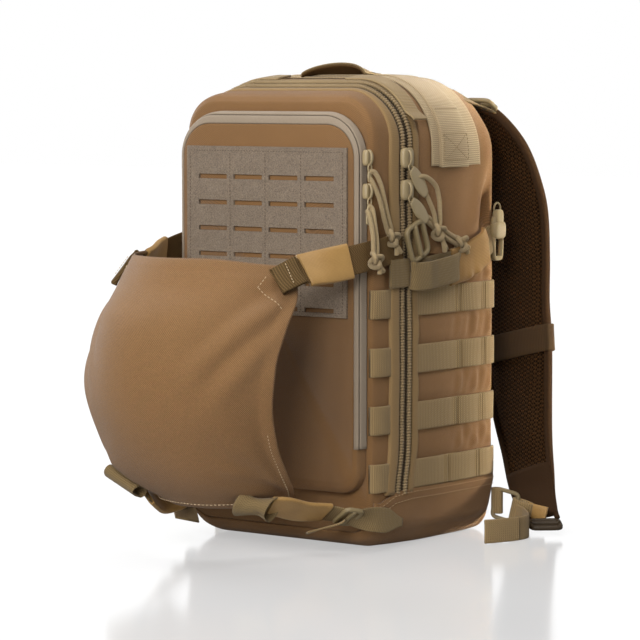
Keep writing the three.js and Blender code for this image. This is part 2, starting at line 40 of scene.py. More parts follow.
# Studio. A glossy white floor before a white wall, under soft boxes overhead, in front and high at the right,
# with tall strips at the left and behind. The long lens looks a little down on the front right edge.
AZIMUTH, ELEVATION = np.radians((37.0, 4.5))
LENS_PLACE = (1.62842, -2.18971, 0.40849)
FOCAL_LENGTH, SENSOR_WIDTH = 168.75, 36.0
toward_lens = np.array([
    np.sin(AZIMUTH) * np.cos(ELEVATION), -np.cos(AZIMUTH) * np.cos(ELEVATION), np.sin(ELEVATION)])
rightward = np.array([np.cos(AZIMUTH), np.sin(AZIMUTH), 0.0])
upward = np.cross(toward_lens, rightward)
lens = bpy.data.cameras.new("camera")
lens.lens, lens.sensor_width = FOCAL_LENGTH, SENSOR_WIDTH
camera = bpy.data.objects.new("camera", lens)
turned = np.column_stack([rightward, upward, toward_lens, LENS_PLACE])
camera.matrix_world = Matrix(np.vstack([turned, (0, 0, 0, 1)]).tolist())
scene.collection.objects.link(camera)
scene.camera = camera
scene.view_settings.view_transform = "Standard"

OPEN = 180  # spread in degrees of a soft box without a grid
SOFTBOXES = (  # name, place, aim, width and height, spread in degrees, power
    ("overhead", (-0.1, -0.2, 1.9), (0.0, 0.0, 0.2), (1.4, 1.4), OPEN, 14.5),
    ("left_strip", (-1.3, 0.0, 0.7), (0.0, -0.1, 0.2), (0.4, 1.4), OPEN, 12.0),
    ("rear_strip", (0.36, 0.62, 0.26), (0.10, 0.16, 0.24), (0.06, 0.6), 15, 0.9),
    ("front_box", (0.1, -2.3, 1.0), (0.0, -0.1, 0.2), (1.0, 1.2), OPEN, 27.0),
    ("right_box", (1.0, -2.1, 1.0), (0.0, -0.1, 0.25), (0.6, 0.8), OPEN, 29.0),
    ("high_right", (0.9, 0.2, 1.7), (0.0, 0.0, 0.3), (0.5, 0.5), OPEN, 9.0),
)
for name, stand, aim, size, spread, power in SOFTBOXES:
    box = bpy.data.lights.new(name, "AREA")
    box.shape, box.size, box.size_y, box.energy = "RECTANGLE", size[0], size[1], power
    box.spread = np.radians(spread)
    lamp = bpy.data.objects.new(name, box)
    lamp.location = stand
    lamp.rotation_euler = (Vector(aim) - Vector(stand)).to_track_quat("-Z", "Y").to_euler()
    lamp.visible_camera, lamp.visible_glossy = False, spread == OPEN
    scene.collection.objects.link(lamp)


def plug(tree, socket, value):
    """Feed one input: link it to another socket, or set a constant."""
    if isinstance(value, bpy.types.NodeSocket):
        tree.links.new(value, socket)
    else:
        socket.default_value = value


def node(tree, kind, settings=(), **inputs):
    """One shader node; inputs are sockets or constant values by socket name."""
    made = tree.nodes.new("ShaderNode" + kind)
    for key, value in settings:
        setattr(made, key, value)
    for key, value in inputs.items():
        plug(tree, made.inputs[key.replace("_", " ")], value)
    return made


def calc(tree, operation, *values):
    """One Math node over sockets or numbers."""
    made = node(tree, "Math", [("operation", operation)])
    for socket, value in zip(made.inputs, values):
        plug(tree, socket, value)
    return made.outputs[0]


WHITE = (1.0, 1.0, 1.0, 1.0)
world = bpy.data.worlds.new("white_sweep")
scene.world = world
world.use_nodes = True
sky = world.node_tree
sight = node(sky, "LightPath")
heading = node(sky, "SeparateXYZ", Vector=node(sky, "TexCoord").outputs["Generated"])
wall = node(sky, "MapRange", Value=heading.outputs["Z"], From_Min=0.4, From_Max=0.22).outputs["Result"]
mirrored_wall = calc(sky, "MULTIPLY", sight.outputs["Is Glossy Ray"], wall)
seen = calc(sky, "MAXIMUM", sight.outputs["Is Camera Ray"], mirrored_wall)
level = node(sky, "MapRange", Value=seen, To_Min=0.06, To_Max=1.0).outputs["Result"]
plug(sky, sky.nodes["Background"].inputs["Strength"], level)
plug(sky, sky.nodes["Background"].inputs["Color"], WHITE)

floor_mesh = bpy.data.meshes.new("floor")
floor_mesh.from_pydata([(-9, -9, 0), (9, -9, 0), (9, 9, 0), (-9, 9, 0)], [], [(0, 1, 2, 3)])
floor = bpy.data.objects.new("floor", floor_mesh)
scene.collection.objects.link(floor)
paper = bpy.data.materials.new("glossy_white_floor")
paper.use_nodes = True
paper_tree = paper.node_tree
paper_sight = node(paper_tree, "LightPath")
paper_glow = calc(paper_tree, "MULTIPLY", paper_sight.outputs["Is Camera Ray"], 0.45)
paper_glow = calc(paper_tree, "MULTIPLY_ADD", paper_sight.outputs["Is Diffuse Ray"], 0.12, paper_glow)
for socket, value in (("Base Color", (0.3, 0.3, 0.3, 1.0)), ("Roughness", 0.14), ("Emission Color", WHITE),
                      ("Emission Strength", paper_glow)):
    plug(paper_tree, paper_tree.nodes["Principled BSDF"].inputs[socket], value)
floor_mesh.materials.append(paper)


# Pull cords. Thin braided cord, looped through each pull plate and tied in one overhand knot with two short
# tails. It hangs from the plate over the side and lies against the cloth.
MM = 0.001  # sizes below are in mm, the frame is in metres
CORD_WIDTH = 4.4
CORD_ROUTES = {
    "main_cord_upper": [
        (111.9, -37, 327), (114.5, -26, 327), (115.2, -12, 319), (114.8, -6, 307), (114.3, -4, 294),
        (114, -3.5, 285.5), (114, -6.5, 281.5), (114, -9.6, 285.5), (113.8, -13, 296), (111.9, -24, 314.5)],
    "main_cord_lower": [
        (111.9, -26, 294), (111.6, -17, 290.5), (110.4, -8, 286.5), (110.2, 4, 280.5), (110.6, 18, 274.5),
        (111.2, 28, 270.5), (111.2, 31, 267.5), (111.2, 28, 265.5), (110.6, 18, 269), (110.2, 4, 275.5),
        (110.4, -8, 281.5), (111.6, -18, 286.5), (111.9, -25, 290)],
    "pocket_cord_upper": [
        (104.6, -97, 333), (107.6, -92.5, 332), (109.6, -86.5, 321), (109.8, -81, 306), (109.8, -75, 290),
        (109.8, -71.5, 282), (109.8, -73.5, 278.5), (109.8, -77, 281), (109.8, -82, 292), (109.6, -88, 308),
        (107.6, -94, 321), (104.6, -96.5, 328)],
    "pocket_cord_lower": [
        (104.5, -98, 303.5), (107.5, -96.5, 301), (110.5, -97.5, 290), (113.2, -98, 276), (113.8, -98, 264),
        (113.8, -100.5, 260.5), (113.8, -103, 264), (113.2, -103, 278), (110.4, -102.5, 290),
        (107.5, -101.5, 297), (104.5, -100, 299)],
}
KNOTS = {  # middle of the knot, and the ends of its two tails
    "main_cord_upper": ((115, -6.5, 278), (114.5, 6, 262), (115.5, 2, 260)),
    "main_cord_lower": ((113, 32, 266.5), (114, 42, 262), (114.5, 40, 257)),
    "pocket_cord_upper": ((112, -72.5, 275), (114, -63, 262), (113, -68, 260)),
    "pocket_cord_lower": ((114.5, -100.5, 257), (115.5, -91, 247), (116, -97, 245)),
}
KNOT_SPREAD, KNOT_DEPTH = 2.3, 3.1


def unit(vectors):
    """Each vector divided by its length."""
    return vectors / np.maximum(np.linalg.norm(vectors, axis=-1, keepdims=True), 1e-9)


def smooth_line(route, count):
    """Catmull-Rom cubic through the route's points (any number of columns), sampled evenly along its
    length."""
    p = np.asarray(route, float)
    p = np.vstack([2 * p[0] - p[1], p, 2 * p[-1] - p[-2]])
    t = np.linspace(0, len(p) - 3, 40 * (len(p) - 3) + 1)
    i = np.minimum(t.astype(int), len(p) - 4)
    f = (t - i)[:, None]
    a, b, c, d = p[i], p[i + 1], p[i + 2], p[i + 3]
    line = 0.5 * (2 * b + (c - a) * f + (2 * a - 5 * b + 4 * c - d) * f**2 + (3 * b - a - 3 * c + d) * f**3)
    run = np.r_[0, np.cumsum(np.linalg.norm(np.diff(line[:, :3], axis=0), axis=1))]
    stops = np.linspace(0, run[-1], count)
    return np.stack([np.interp(stops, run, column) for column in line.T], axis=1)


def sweep(line, across, profile):
    """Profile carried along a line: a profile point (a, b) lies a along the across direction, made square to
    the line, and b along the face direction, which is across times the line's direction."""
    closed = np.allclose(line[0], line[-1])
    ahead = np.gradient(np.vstack([line[-2], line, line[1]]) if closed else line, axis=0)
    ahead = unit(ahead[1:-1] if closed else ahead)
    across = np.broadcast_to(np.asarray(across, float), line.shape)
    side = unit(across - np.sum(across * ahead, axis=1, keepdims=True) * ahead)
    face = np.cross(side, ahead)
    profile = np.broadcast_to(profile, (len(line),) + np.shape(profile)[-2:])
    return line[:, None] + profile[..., :1] * side[:, None] + profile[..., 1:] * face[:, None]


def square_turn(turn, power):
    """Cosine and sine of a turn, each raised to a power with its sign kept: a low power squares a circle."""
    c, s = np.cos(turn), np.sin(turn)
    return np.sign(c) * abs(c)**power, np.sign(s) * abs(s)**power


def oval(width, thick, count, square=2.0):
    """Closed profile: a superellipse, an ellipse at square 2 and nearer a rectangle as square grows."""
    turn = np.linspace(0, 2 * np.pi, count, endpoint=False) + np.pi / count
    across, out = square_turn(turn, 2.0 / square)
    return np.stack([width / 2 * across, thick / 2 * out], axis=1)


def run_along(grid, axis):
    """Distance in mm along one way of a grid, counted from its middle."""
    step = np.linalg.norm(np.diff(grid, axis=axis), axis=-1)
    start = np.zeros_like(np.take(step, [0], axis=axis))
    total = np.concatenate([start, np.cumsum(step, axis=axis)], axis=axis)
    return total - np.take(total, [total.shape[axis] // 2], axis=axis)


def lid(row):
    """Quads from side to side over a closed row."""
    back = row[::-1]
    return np.stack([row[:-1], row[1:], back[1:], back[:-1]], axis=1)[:len(row) // 2 - 1]


def tiles(grid):
    """Points, quads and cloth map of a grid. Each cell is a quad, the last column joins the first, and each
    end row gets a lid, unless the last row is the first row again, which makes a ring. The map holds the
    distance in mm across (around the profile) and along (down the rows)."""
    ring = np.allclose(grid[0], grid[-1])
    wide = np.concatenate([grid, grid[:, :1]], axis=1)
    over = np.stack([run_along(wide, 1), run_along(wide, 0)], axis=-1)
    solid = grid[:-1] if ring else grid
    corner = np.arange(solid.shape[0] * solid.shape[1]).reshape(solid.shape[:2])
    corner = np.hstack([corner, corner[:, :1]])
    corner = np.vstack([corner, corner[:1]]) if ring else corner
    cell = lambda a: np.stack([a[:-1, :-1], a[:-1, 1:], a[1:, 1:], a[1:, :-1]], axis=2)
    quads, chart = cell(corner).reshape(-1, 4), cell(over).reshape(-1, 4, 2)
    if not ring:
        lids = lambda a: [lid(a[0, :-1][::-1]), lid(a[-1, :-1])]
        quads, chart = np.concatenate([quads, *lids(corner)]), np.concatenate([chart, *lids(over)])
    points = solid.reshape(-1, 3)
    a, b, c, d = (points[quads[:, k]] for k in range(4))
    inside_out = np.sum(a * np.cross(b, c)) + np.sum(a * np.cross(c, d)) < 0
    return (points, quads[:, ::-1], chart[:, ::-1]) if inside_out else (points, quads, chart)


def lay(name, grids, material, replaced=()):
    """Closed mesh from grids of points in mm, with the distances over its surface in the map "cloth"."""
    points, quads, charts = zip(*(tiles(grid) for grid in grids))
    first = np.cumsum([0] + [len(own) for own in points])
    corners = np.concatenate([own + start for own, start in zip(quads, first)])
    mesh = bpy.data.meshes.new(name)
    mesh.vertices.add(int(first[-1]))
    mesh.vertices.foreach_set("co", np.concatenate(points).ravel() * MM)
    mesh.loops.add(corners.size)
    mesh.loops.foreach_set("vertex_index", corners.ravel())
    mesh.polygons.add(len(corners))
    mesh.polygons.foreach_set("loop_start", np.arange(len(corners)) * 4)
    mesh.polygons.foreach_set("use_smooth", np.ones(len(corners), bool))
    chart = mesh.uv_layers.new(name="cloth")
    chart.data.foreach_set("uv", np.concatenate(charts).ravel())
    mesh.update(calc_edges=True)
    mesh.materials.append(material)
    piece = bpy.data.objects.new(name, mesh)
    scene.collection.objects.link(piece)
    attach(piece, "root")
    for node_name in replaced:
        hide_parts(node_name)
    return piece


def wave(tree, value, period):
    """Sine of a distance, with its period in mm."""
    return calc(tree, "SINE", calc(tree, "MULTIPLY", value, 2 * np.pi / period))


def tone(red, green, blue):
    """Screen colour, 0 to 255, as linear light."""
    c = np.array([red, green, blue]) / 255.0
    return (*np.where(c <= 0.04045, c / 12.92, ((c + 0.055) / 1.055)**2.4), 1.0)


def finish(name, deep, pale, weave, depth, rough=0.85, sheen=0.1, share=0.5, mottle=0.25, patch=14.0,
           mapped=True, grain=0.0, gloss=0.35):
    """Cloth or moulded finish. A weave function of the two distances in mm gives a height from -1 to 1, which
    lifts the surface by depth mm and, by its share, shifts the colour from deep to pale. Slow noise adds
    mottle in patches, and fast noise adds grain."""
    material = bpy.data.materials.new(name)
    material.use_nodes = True
    tree = material.node_tree
    shader = tree.nodes["Principled BSDF"]
    spot = node(tree, "TexCoord").outputs["Object"]
    if mapped:
        chart = node(tree, "UVMap", [("uv_map", "cloth")]).outputs[0]
        u, v = node(tree, "SeparateXYZ", Vector=chart).outputs[:2]
    else:
        spot_x, _, spot_z = node(tree, "SeparateXYZ", Vector=spot).outputs
        u, v = calc(tree, "MULTIPLY", spot_x, 1 / MM), calc(tree, "MULTIPLY", spot_z, 1 / MM)
    height = weave(tree, u, v)
    blotch = node(tree, "TexNoise", Vector=spot, Scale=patch, Detail=3.0, Roughness=0.55).outputs[0]
    patches = calc(tree, "MULTIPLY_ADD", blotch, mottle, 0.5 - mottle / 2)
    lift = calc(tree, "MULTIPLY_ADD", height, share / 2, patches)
    if grain:
        speck = node(tree, "TexNoise", Vector=spot, Scale=1400.0, Detail=2.0).outputs[0]
        lift = calc(tree, "ADD", lift, calc(tree, "MULTIPLY_ADD", speck, grain, -grain / 2))
        height = calc(tree, "ADD", height, calc(tree, "MULTIPLY_ADD", speck, 2.0 * grain, -grain))
    blend = node(tree, "Mix", [("data_type", "RGBA")])
    for k, value in ((0, lift), (6, tone(*deep)), (7, tone(*pale))):
        plug(tree, blend.inputs[k], value)
    bump = node(tree, "Bump", Strength=1.0, Distance=depth * MM, Height=height)
    for socket, value in (("Base Color", blend.outputs[2]), ("Normal", bump.outputs[0]), ("Roughness", rough),
                          ("Sheen Weight", sheen), ("Sheen Roughness", 0.45), ("Specular IOR Level", gloss)):
        plug(tree, shader.inputs[socket], value)
    return material


def braid(tree, u, v):
    """Crossing diagonal strands: product of two slanted waves."""
    left = calc(tree, "MULTIPLY_ADD", u, 1.3, v)
    right = calc(tree, "MULTIPLY_ADD", u, -1.3, v)
    return calc(tree, "MULTIPLY", wave(tree, left, 2.4), wave(tree, right, 2.4))


cord_braid = finish("cord_braid", (132, 110, 74), (204, 178, 134), braid, 0.3, rough=0.8, share=0.8)
cord_round = oval(CORD_WIDTH, CORD_WIDTH, 10)
trefoil = np.linspace(0, 2 * np.pi, 121)
knot_loop = np.stack([
    -KNOT_DEPTH * np.sin(3 * trefoil), KNOT_SPREAD * (np.sin(trefoil) + 2 * np.sin(2 * trefoil)),
    KNOT_SPREAD * (np.cos(trefoil) - 2 * np.cos(2 * trefoil))], axis=1)
for name, route in CORD_ROUTES.items():
    line = smooth_line(route, 140)
    looped = sweep(line, (1, 0.05, 0.02), cord_round)
    cord = lay(name.replace("cord", "pull"), [looped], cord_braid, [name])
    middle, *tails = (np.array(spot, float) for spot in KNOTS[name])
    fall = unit(np.mean(tails, axis=0) - middle)
    side = unit(np.cross(fall, (1, 0, 0)))
    coil = middle + knot_loop @ np.stack([np.cross(side, fall), side, fall])
    coil[-1] = coil[0]
    grids = [sweep(coil, unit(coil - middle), cord_round)]
    for k, end in enumerate(tails):
        sag = (middle + end) / 2 + np.array([1.0, 2.0 * k - 1.0, -0.5])
        grids.append(sweep(smooth_line([middle, sag, end], 24), (1, 0.1, 0.1), cord_round))
    knot = lay(name.replace("cord", "knot"), grids, cord_braid)
    length = np.linalg.norm(np.diff(line, axis=0), axis=1).sum() * MM


# Body shells. One tub of coated nylon with the back wall, and a front panel with its gusset; both are sewn
# round to the zipper. The cloth is firm, rounded at the corners, and swells a little between the webbing.
BODY = (  # depth, half width, low, high, lower corner radius, upper corner radius
    (-92, 99.5, 26, 392.5, 22, 29), (-89, 103, 17, 397.5, 25, 33), (-82, 104.5, 9, 400.5, 28, 38),
    (-62, 105.5, 3.5, 403.6, 28, 45), (-36, 106, 3, 409.5, 24, 53), (10, 107, 3, 413.8, 18, 62),
    (60, 107, 3, 412.5, 17, 65), (88, 105.5, 4, 407.5, 17, 65), (98, 101.5, 8, 400, 16, 62),
    (102, 92, 18, 390, 14, 55))
FRONT_RIM, REAR_RIM = -62.0, -36.0
WALL_RINGS = (0.985, 0.95, 0.85, 0.7, 0.5, 0.3, 0.1)
ROW_TOPS = (230.0, 179.2, 128.4, 77.6)
WEBBING_WIDTH = 25.4


def hull(table, y):
    """Values of a table at depth y: cubics whose slope at a row is the harmonic mean of the chords beside
    it."""
    rows = np.asarray(table, float)
    at, values = rows[:, 0], rows[:, 1:]
    chord = np.diff(values, axis=0) / np.diff(at)[:, None]
    both = chord[:-1] * chord[1:]
    inner = np.where(both > 0, 2 * both / np.where(both > 0, chord[:-1] + chord[1:], 1), 0)
    slope = np.vstack([chord[:1], inner, chord[-1:]])
    y = np.asarray(y, float)
    i = np.clip(np.searchsorted(at, y) - 1, 0, len(at) - 2)
    step = at[i + 1] - at[i]
    t = np.clip((y - at[i]) / step, 0, 1)[..., None]
    step = step[..., None]
    found = ((1 + 2 * t) * (1 - t)**2 * values[i] + t * (1 - t)**2 * step * slope[i]
             + t**2 * (3 - 2 * t) * values[i + 1] - t**2 * (1 - t) * step * slope[i + 1])
    return np.moveaxis(found, -1, 0)


def ease(value, start, end):
    """0 before start, 1 after end, smooth between."""
    t = np.clip((value - start) / (end - start), 0, 1)
    return t * t * (3 - 2 * t)


def between(value, low, full_low, full_high, high):
    """0 outside low and high, 1 from full_low to full_high, smooth between."""
    return ease(value, low, full_low) * ease(-value, -high, -full_high)


def bell(value, middle, width):
    """Bell curve: 1 at the middle, dying away over about twice the width."""
    return np.exp(-((value - middle) / width)**2)


def uneven(x, y, z, size):
    """Soft unevenness of cloth, about -1 to 1: four plane waves in fixed directions, size mm long."""
    k = 2 * np.pi / size
    return 0.3 * (np.sin(k * (0.8 * x + 0.5 * y + 0.3 * z)) + np.sin(k * (0.2 * x - 0.7 * y + 0.8 * z) + 1.3)
                  + np.sin(k * 1.7 * (0.6 * x + 0.3 * y - 0.6 * z) + 2.1)
                  + np.sin(k * 1.4 * (0.5 * y + 0.9 * z) + 4.0))


def give(x, y, z):
    """How far the body cloth stands off its plain shape, in mm: it bulges between the webbing rows, pleats
    beside their tacks, swells on the upper side, is drawn in to the rear buckle along one slanting fold, and
    slopes in towards the bottom."""
    x = abs(x)
    side, rear = ease(x, 90, 104), between(y, -36, -24, 90, 100)
    held = sum(between(z, top - WEBBING_WIDTH - 7, top - WEBBING_WIDTH, top, top + 7) for top in ROW_TOPS)
    pleat = (np.sin(2 * np.pi * (y - 26) / 23 + 1.6 * np.sin(z / 13) + z / 21)
             + 0.6 * np.sin(2 * np.pi * y / 13 - z / 9)) * ease(y, 12, 50)
    bulge = between(z, 52, 60, 236, 246) * (1 - held) * (1.6 + 0.9 * pleat)
    fold = y - (58 + (z - 285) * 0.33)
    crease = 2.6 * bell(fold, 21, 9) * ease(-z, -345, -300)
    swell = between(z, 268, 290, 345, 392) * (2.2 * bell(y, 30, 38) + 3.4 * bell(fold, 1, 11) - crease)
    dimple = 9.5 * bell(y, 83, 11) * bell(z, 294, 22)
    tuck = 7.0 * ease(-z, -52, -8) * ease(y, -60, 0)
    loose = 0.45 * uneven(x, y, z, 90.0) * ease(z, 50, 70)
    return side * (rear * (bulge + swell - dimple) - tuck) + loose


def skin(table, y, d, lift=0.0, soft=True):
    """Point of a rounded box section at depth y, d mm from the middle of its top over the corner and down the
    side: flat top, corner arc, straight side, lower arc, flat bottom; lift and give push it out along the
    outline."""
    half, low, high, under, over = hull(table, y)
    top, corner, side, foot = half - over, over * np.pi / 2, high - over - low - under, under * np.pi / 2
    run = abs(d)
    first = np.clip((run - top) / over, 0, np.pi / 2)
    second = np.clip((run - top - corner - side) / under, 0, np.pi / 2)
    x = np.minimum(run, top) + over * np.sin(first) - under * (1 - np.cos(second))
    x = x - np.maximum(run - top - corner - side - foot, 0)
    z = high - over * (1 - np.cos(first)) - np.clip(run - top - corner, 0, side) - under * np.sin(second)
    turn = first + second
    out = lift + (give(x, y, z) if soft else 0.0)
    return np.stack([np.sign(d) * (x + out * np.sin(turn)), y + 0 * x, z + out * np.cos(turn)], axis=-1)


def drop(table, y, z):
    """Distance d at which the section at depth y comes down to height z."""
    half, low, high, under, over = hull(table, y)
    return (half - over + over * np.arccos(np.clip(1 - (high - z) / over, 0, 1))
            + np.clip(high - over - z, 0, high - over - low - under)
            + under * np.arcsin(np.clip((low + under - z) / under, 0, 1)))


def girth(table, y):
    """Distance d at which the section at depth y reaches the middle of its bottom."""
    half, low, high, under, over = hull(table, y)
    return half - over + (over + under) * np.pi / 2 + high - over - low - under + half - under


def plain(pitch):
    """Plain weave: product of a wave across and a wave along."""
    return lambda tree, u, v: calc(tree, "MULTIPLY", wave(tree, u, pitch), wave(tree, v, pitch))


def shell(table, depths, wall_rings, columns=360, soft=True):
    """Rings of a rounded box from its rim to its wall, then the last ring shrunk by shares over the wall."""
    y = np.asarray(depths, float)[:, None]
    q = np.linspace(-1, 1, columns, endpoint=False)[None]
    rings = skin(table, y, q * girth(table, y), soft=soft)
    last = rings[-1]
    middle = np.array([0, depths[-1], last[:, 2].mean()])
    return np.concatenate([rings, middle + (last - middle) * np.array(wall_rings)[:, None, None]])


pack_nylon = finish("pack_nylon", (88, 60, 28), (156, 114, 68), plain(1.6), 0.14, rough=0.7, share=0.7,
                    grain=0.5)
rear_depths = np.r_[np.linspace(REAR_RIM, 94, 92), 96, 98, 99.5, 100.7, 101.5, 102]
front_depths = np.r_[np.linspace(FRONT_RIM, -84, 20), np.linspace(-85, -92, 15)]
lay("rear_body", [shell(BODY, rear_depths, WALL_RINGS)], pack_nylon, ["rear_shell"])
lay("front_body", [shell(BODY, front_depths, WALL_RINGS)], pack_nylon, ["front_shell"])


# Main zipper. A wide coil zipper runs from the base up the side, over the top and down the other side. Two
# ribbed coils stand on its tape, and a folded strip of cloth binds the edge of the tub and of the front panel
# beside it.
ZIPPER_END, ZIPPER_SWAY, ZIPPER_CROWN, SWAY_REACH = 49.5, -6.0, -5.0, 28.0
TOP_SHARE, TOP_FADE = 0.30, 0.14  # where a hoop turns from the top to the sides, as shares of its half length
TAPE_MIDDLE, TAPE_WIDTH = -46.8, 22.0
COIL_WIDTH, COIL_HEIGHT, COIL_PITCH = 4.8, 3.2, 2.5
FRONT_BINDING_FROM, FRONT_BINDING_WIDTH, REAR_BINDING_MIDDLE = -69.35, 13.5, -32.8


def flat(width, thick=1.8, count=9):
    """Closed profile of a flat strap: straight faces and half-round edges."""
    r = min(thick, 2.4) / 2
    straight = np.linspace(-width / 2 + r, width / 2 - r, count)
    t = np.linspace(np.pi / 2, -np.pi / 2, 5)[1:-1]
    edge = np.stack([width / 2 - r + r * np.cos(t), thick / 2 * np.sin(t)], axis=1)
    upper = np.stack([straight, np.full(count, thick / 2)], axis=1)
    return np.concatenate([upper, edge, -upper, -edge])


def on_top(share):
    """1 over the top of a hoop, 0 down its sides, smooth round the upper corners."""
    return ease(TOP_SHARE - abs(share), 0, TOP_FADE)


def hoop(table, depth, lift, low, rows=220, soft=True, sway=0.0, crown=0.0):
    """Profile of depths and lifts carried along the outline, from a height on the right side over the top to
    the same height on the left side. Both feet swing by sway, which dies away up the side as a bell curve,
    and the run over the top is moved by crown."""
    share = np.linspace(1, -1, rows)[:, None]
    foot = drop(table, depth, low)
    bend = sway * bell(foot * (1 - abs(share)), 0, SWAY_REACH) + crown * on_top(share)
    return skin(table, depth + bend, foot * share, lift, soft)


def zip_hoop(depth, lift, rows=220, crown=ZIPPER_CROWN):
    """Hoop over the body that follows the zipper's own bends."""
    return hoop(BODY, depth, lift, ZIPPER_END, rows, sway=ZIPPER_SWAY, crown=crown)


def coil_row(middle, stand, rows=2600):
    """Ribbed coil: a round profile that swells and shrinks every rib along the zipper."""
    ring = oval(COIL_WIDTH, COIL_HEIGHT, 8)
    run = drop(BODY, np.array(middle), ZIPPER_END) * np.linspace(1, -1, rows)[:, None]
    swell = 1 + 0.34 * np.cos(2 * np.pi * run / COIL_PITCH)
    return zip_hoop(middle + swell * ring[:, 0], stand + swell * ring[:, 1], rows)


def ribs(along, across, cut=0.5):
    """Webbing: close ribs across the strap, broken into columns along it."""
    def weave(tree, u, v):
        columns = calc(tree, "MULTIPLY_ADD", wave(tree, u, across), cut, 1 - cut)
        return calc(tree, "MULTIPLY", wave(tree, v, along), columns)
    return weave


zip_tape = finish("zip_tape", (40, 29, 16), (84, 66, 40), ribs(1.4, 2.2), 0.1, share=0.6)
tape_shape = flat(TAPE_WIDTH, 1.2)
lay("zip_tape", [zip_hoop(TAPE_MIDDLE + tape_shape[:, 0], 0.5 + tape_shape[:, 1])], zip_tape,
    ["main_zipper"])
coil_nylon = finish("coil_nylon", (118, 96, 64), (170, 146, 106), plain(1.2), 0.05, rough=0.5, share=0.4)
lay("zip_coils", [coil_row(-51.6, 1.8), coil_row(-42.6, 2.8)], coil_nylon)
edge_cloth = finish("edge_cloth", (108, 84, 50), (162, 131, 86), ribs(1.5, 2.4), 0.1, rough=0.75, grain=0.3)
front_edge, rear_edge = oval(FRONT_BINDING_WIDTH, 4.4, 20, 3.0), oval(9.0, 4.0, 20, 3.0)
binding_share = np.linspace(1, -1, 240)[:, None]
low_top = 1.2 - 1.6 * np.exp(-(binding_share / 0.34)**4)
narrow_top = 1 - 0.37 * on_top(binding_share)
front_depth = FRONT_BINDING_FROM + (front_edge[:, 0] + FRONT_BINDING_WIDTH / 2) * narrow_top
lay("zip_binding", [zip_hoop(front_depth, low_top + front_edge[:, 1], 240, crown=0.0),
                    zip_hoop(REAR_BINDING_MIDDLE + rear_edge[:, 0], 1.0 + rear_edge[:, 1], 240)],
    edge_cloth)


# Base panel. A second layer of the same nylon, cut as one piece that wraps the bottom and both lower sides,
# turned under at its upper edge and sewn down with two rows of thread.
BASE_EDGE = ((-89, 44), (-82, 43), (-62, 50.5), (-36, 52), (10, 51.5), (60, 51.5), (88, 51.5), (98, 51.5))
BASE_FRONT, BASE_REAR, BASE_OUTSIDE, BASE_INSIDE = -89.0, 98.0, 2.6, 0.4
BASE_SEAMS, BASE_STITCH = (3.0, 9.0), (4.6, 2.4)  # fall below the edge, and stitch pitch and length
MIRROR = np.array([-1, 1, 1])


def base_lines(depth, fall):
    """Distance d of a line that runs fall mm below the base panel's upper edge."""
    edge = np.interp(depth, *np.array(BASE_EDGE, float).T)
    return drop(BODY, depth, edge) + fall


def stitches(line, out, pitch=3.4, long=2.5, thick=0.8):
    """Row of thread beads along a line: one bead every pitch, thin at its ends and raised in its middle."""
    run = np.r_[0, np.cumsum(np.linalg.norm(np.diff(line, axis=0), axis=1))]
    at = np.arange(pitch / 2, run[-1], pitch)
    pick = lambda values: np.stack([np.interp(at, run, column) for column in values.T], axis=1)
    ahead, up = unit(pick(np.gradient(line, axis=0))), unit(pick(np.broadcast_to(out, line.shape)))
    up = unit(up - np.sum(up * ahead, axis=1, keepdims=True) * ahead)
    side = np.cross(up, ahead)
    s = np.linspace(-1, 1, 5)
    t = np.linspace(0, 2 * np.pi, 6, endpoint=False)
    r = thick / 2 * np.sqrt(np.maximum(1 - s**4, 0.04))
    local = np.stack([np.broadcast_to(s[:, None] * long / 2, (5, 6)), r[:, None] * np.cos(t),
                      r[:, None] * np.sin(t) + 0.2 * (1 - s[:, None]**2)], axis=-1)
    axes = np.stack([ahead, side, up], axis=1)
    return pick(line)[:, None, None] + np.einsum("rck,nkx->nrcx", local, axes)


def both_sides(line, out, *stitch):
    """Stitches along a line on the right side, and mirrored on the left."""
    return [*stitches(line, out, *stitch), *stitches(line * MIRROR, out * MIRROR, *stitch)]


def sewing_thread(name, deep, pale, rough=0.7, share=0.5):
    """Twisted thread, too fine to show a weave."""
    return finish(name, deep, pale, plain(0.8), 0.02, rough=rough, share=share)


base_depth = np.r_[np.linspace(BASE_FRONT, BASE_REAR, 120), np.linspace(BASE_REAR, BASE_FRONT, 120)]
base_lift = np.repeat([BASE_OUTSIDE, BASE_INSIDE], 120)
outside = base_lift == BASE_OUTSIDE
base_share = np.sin(np.linspace(-np.pi / 2, np.pi / 2, 260))[:, None]
base_half = girth(BODY, base_depth) - base_lines(base_depth, 0.0)
base_d = np.where(base_share > 0, -1, 1) * (girth(BODY, base_depth) - abs(base_share) * base_half)
base_hem = 0.5 * bell((1 - abs(base_share)) * base_half, 5, 4) * outside
base_grid = skin(BODY, base_depth, base_d, base_lift + base_hem)
base_grid[..., 2] = np.maximum(base_grid[..., 2], np.where(outside, 0.0, 2.0))
lay("base_cloth", [base_grid], pack_nylon, ["base_panel"])
thread = sewing_thread("thread", (146, 116, 78), (190, 160, 118), rough=0.6, share=0.3)
seam_depth = np.linspace(-86, 96, 300)
seams = []
for fall in BASE_SEAMS:
    line = skin(BODY, seam_depth, base_lines(seam_depth, fall), 3.4)
    seams += both_sides(line, np.array([1.0, 0, 0]), *BASE_STITCH)
lay("base_stitching", seams, thread)


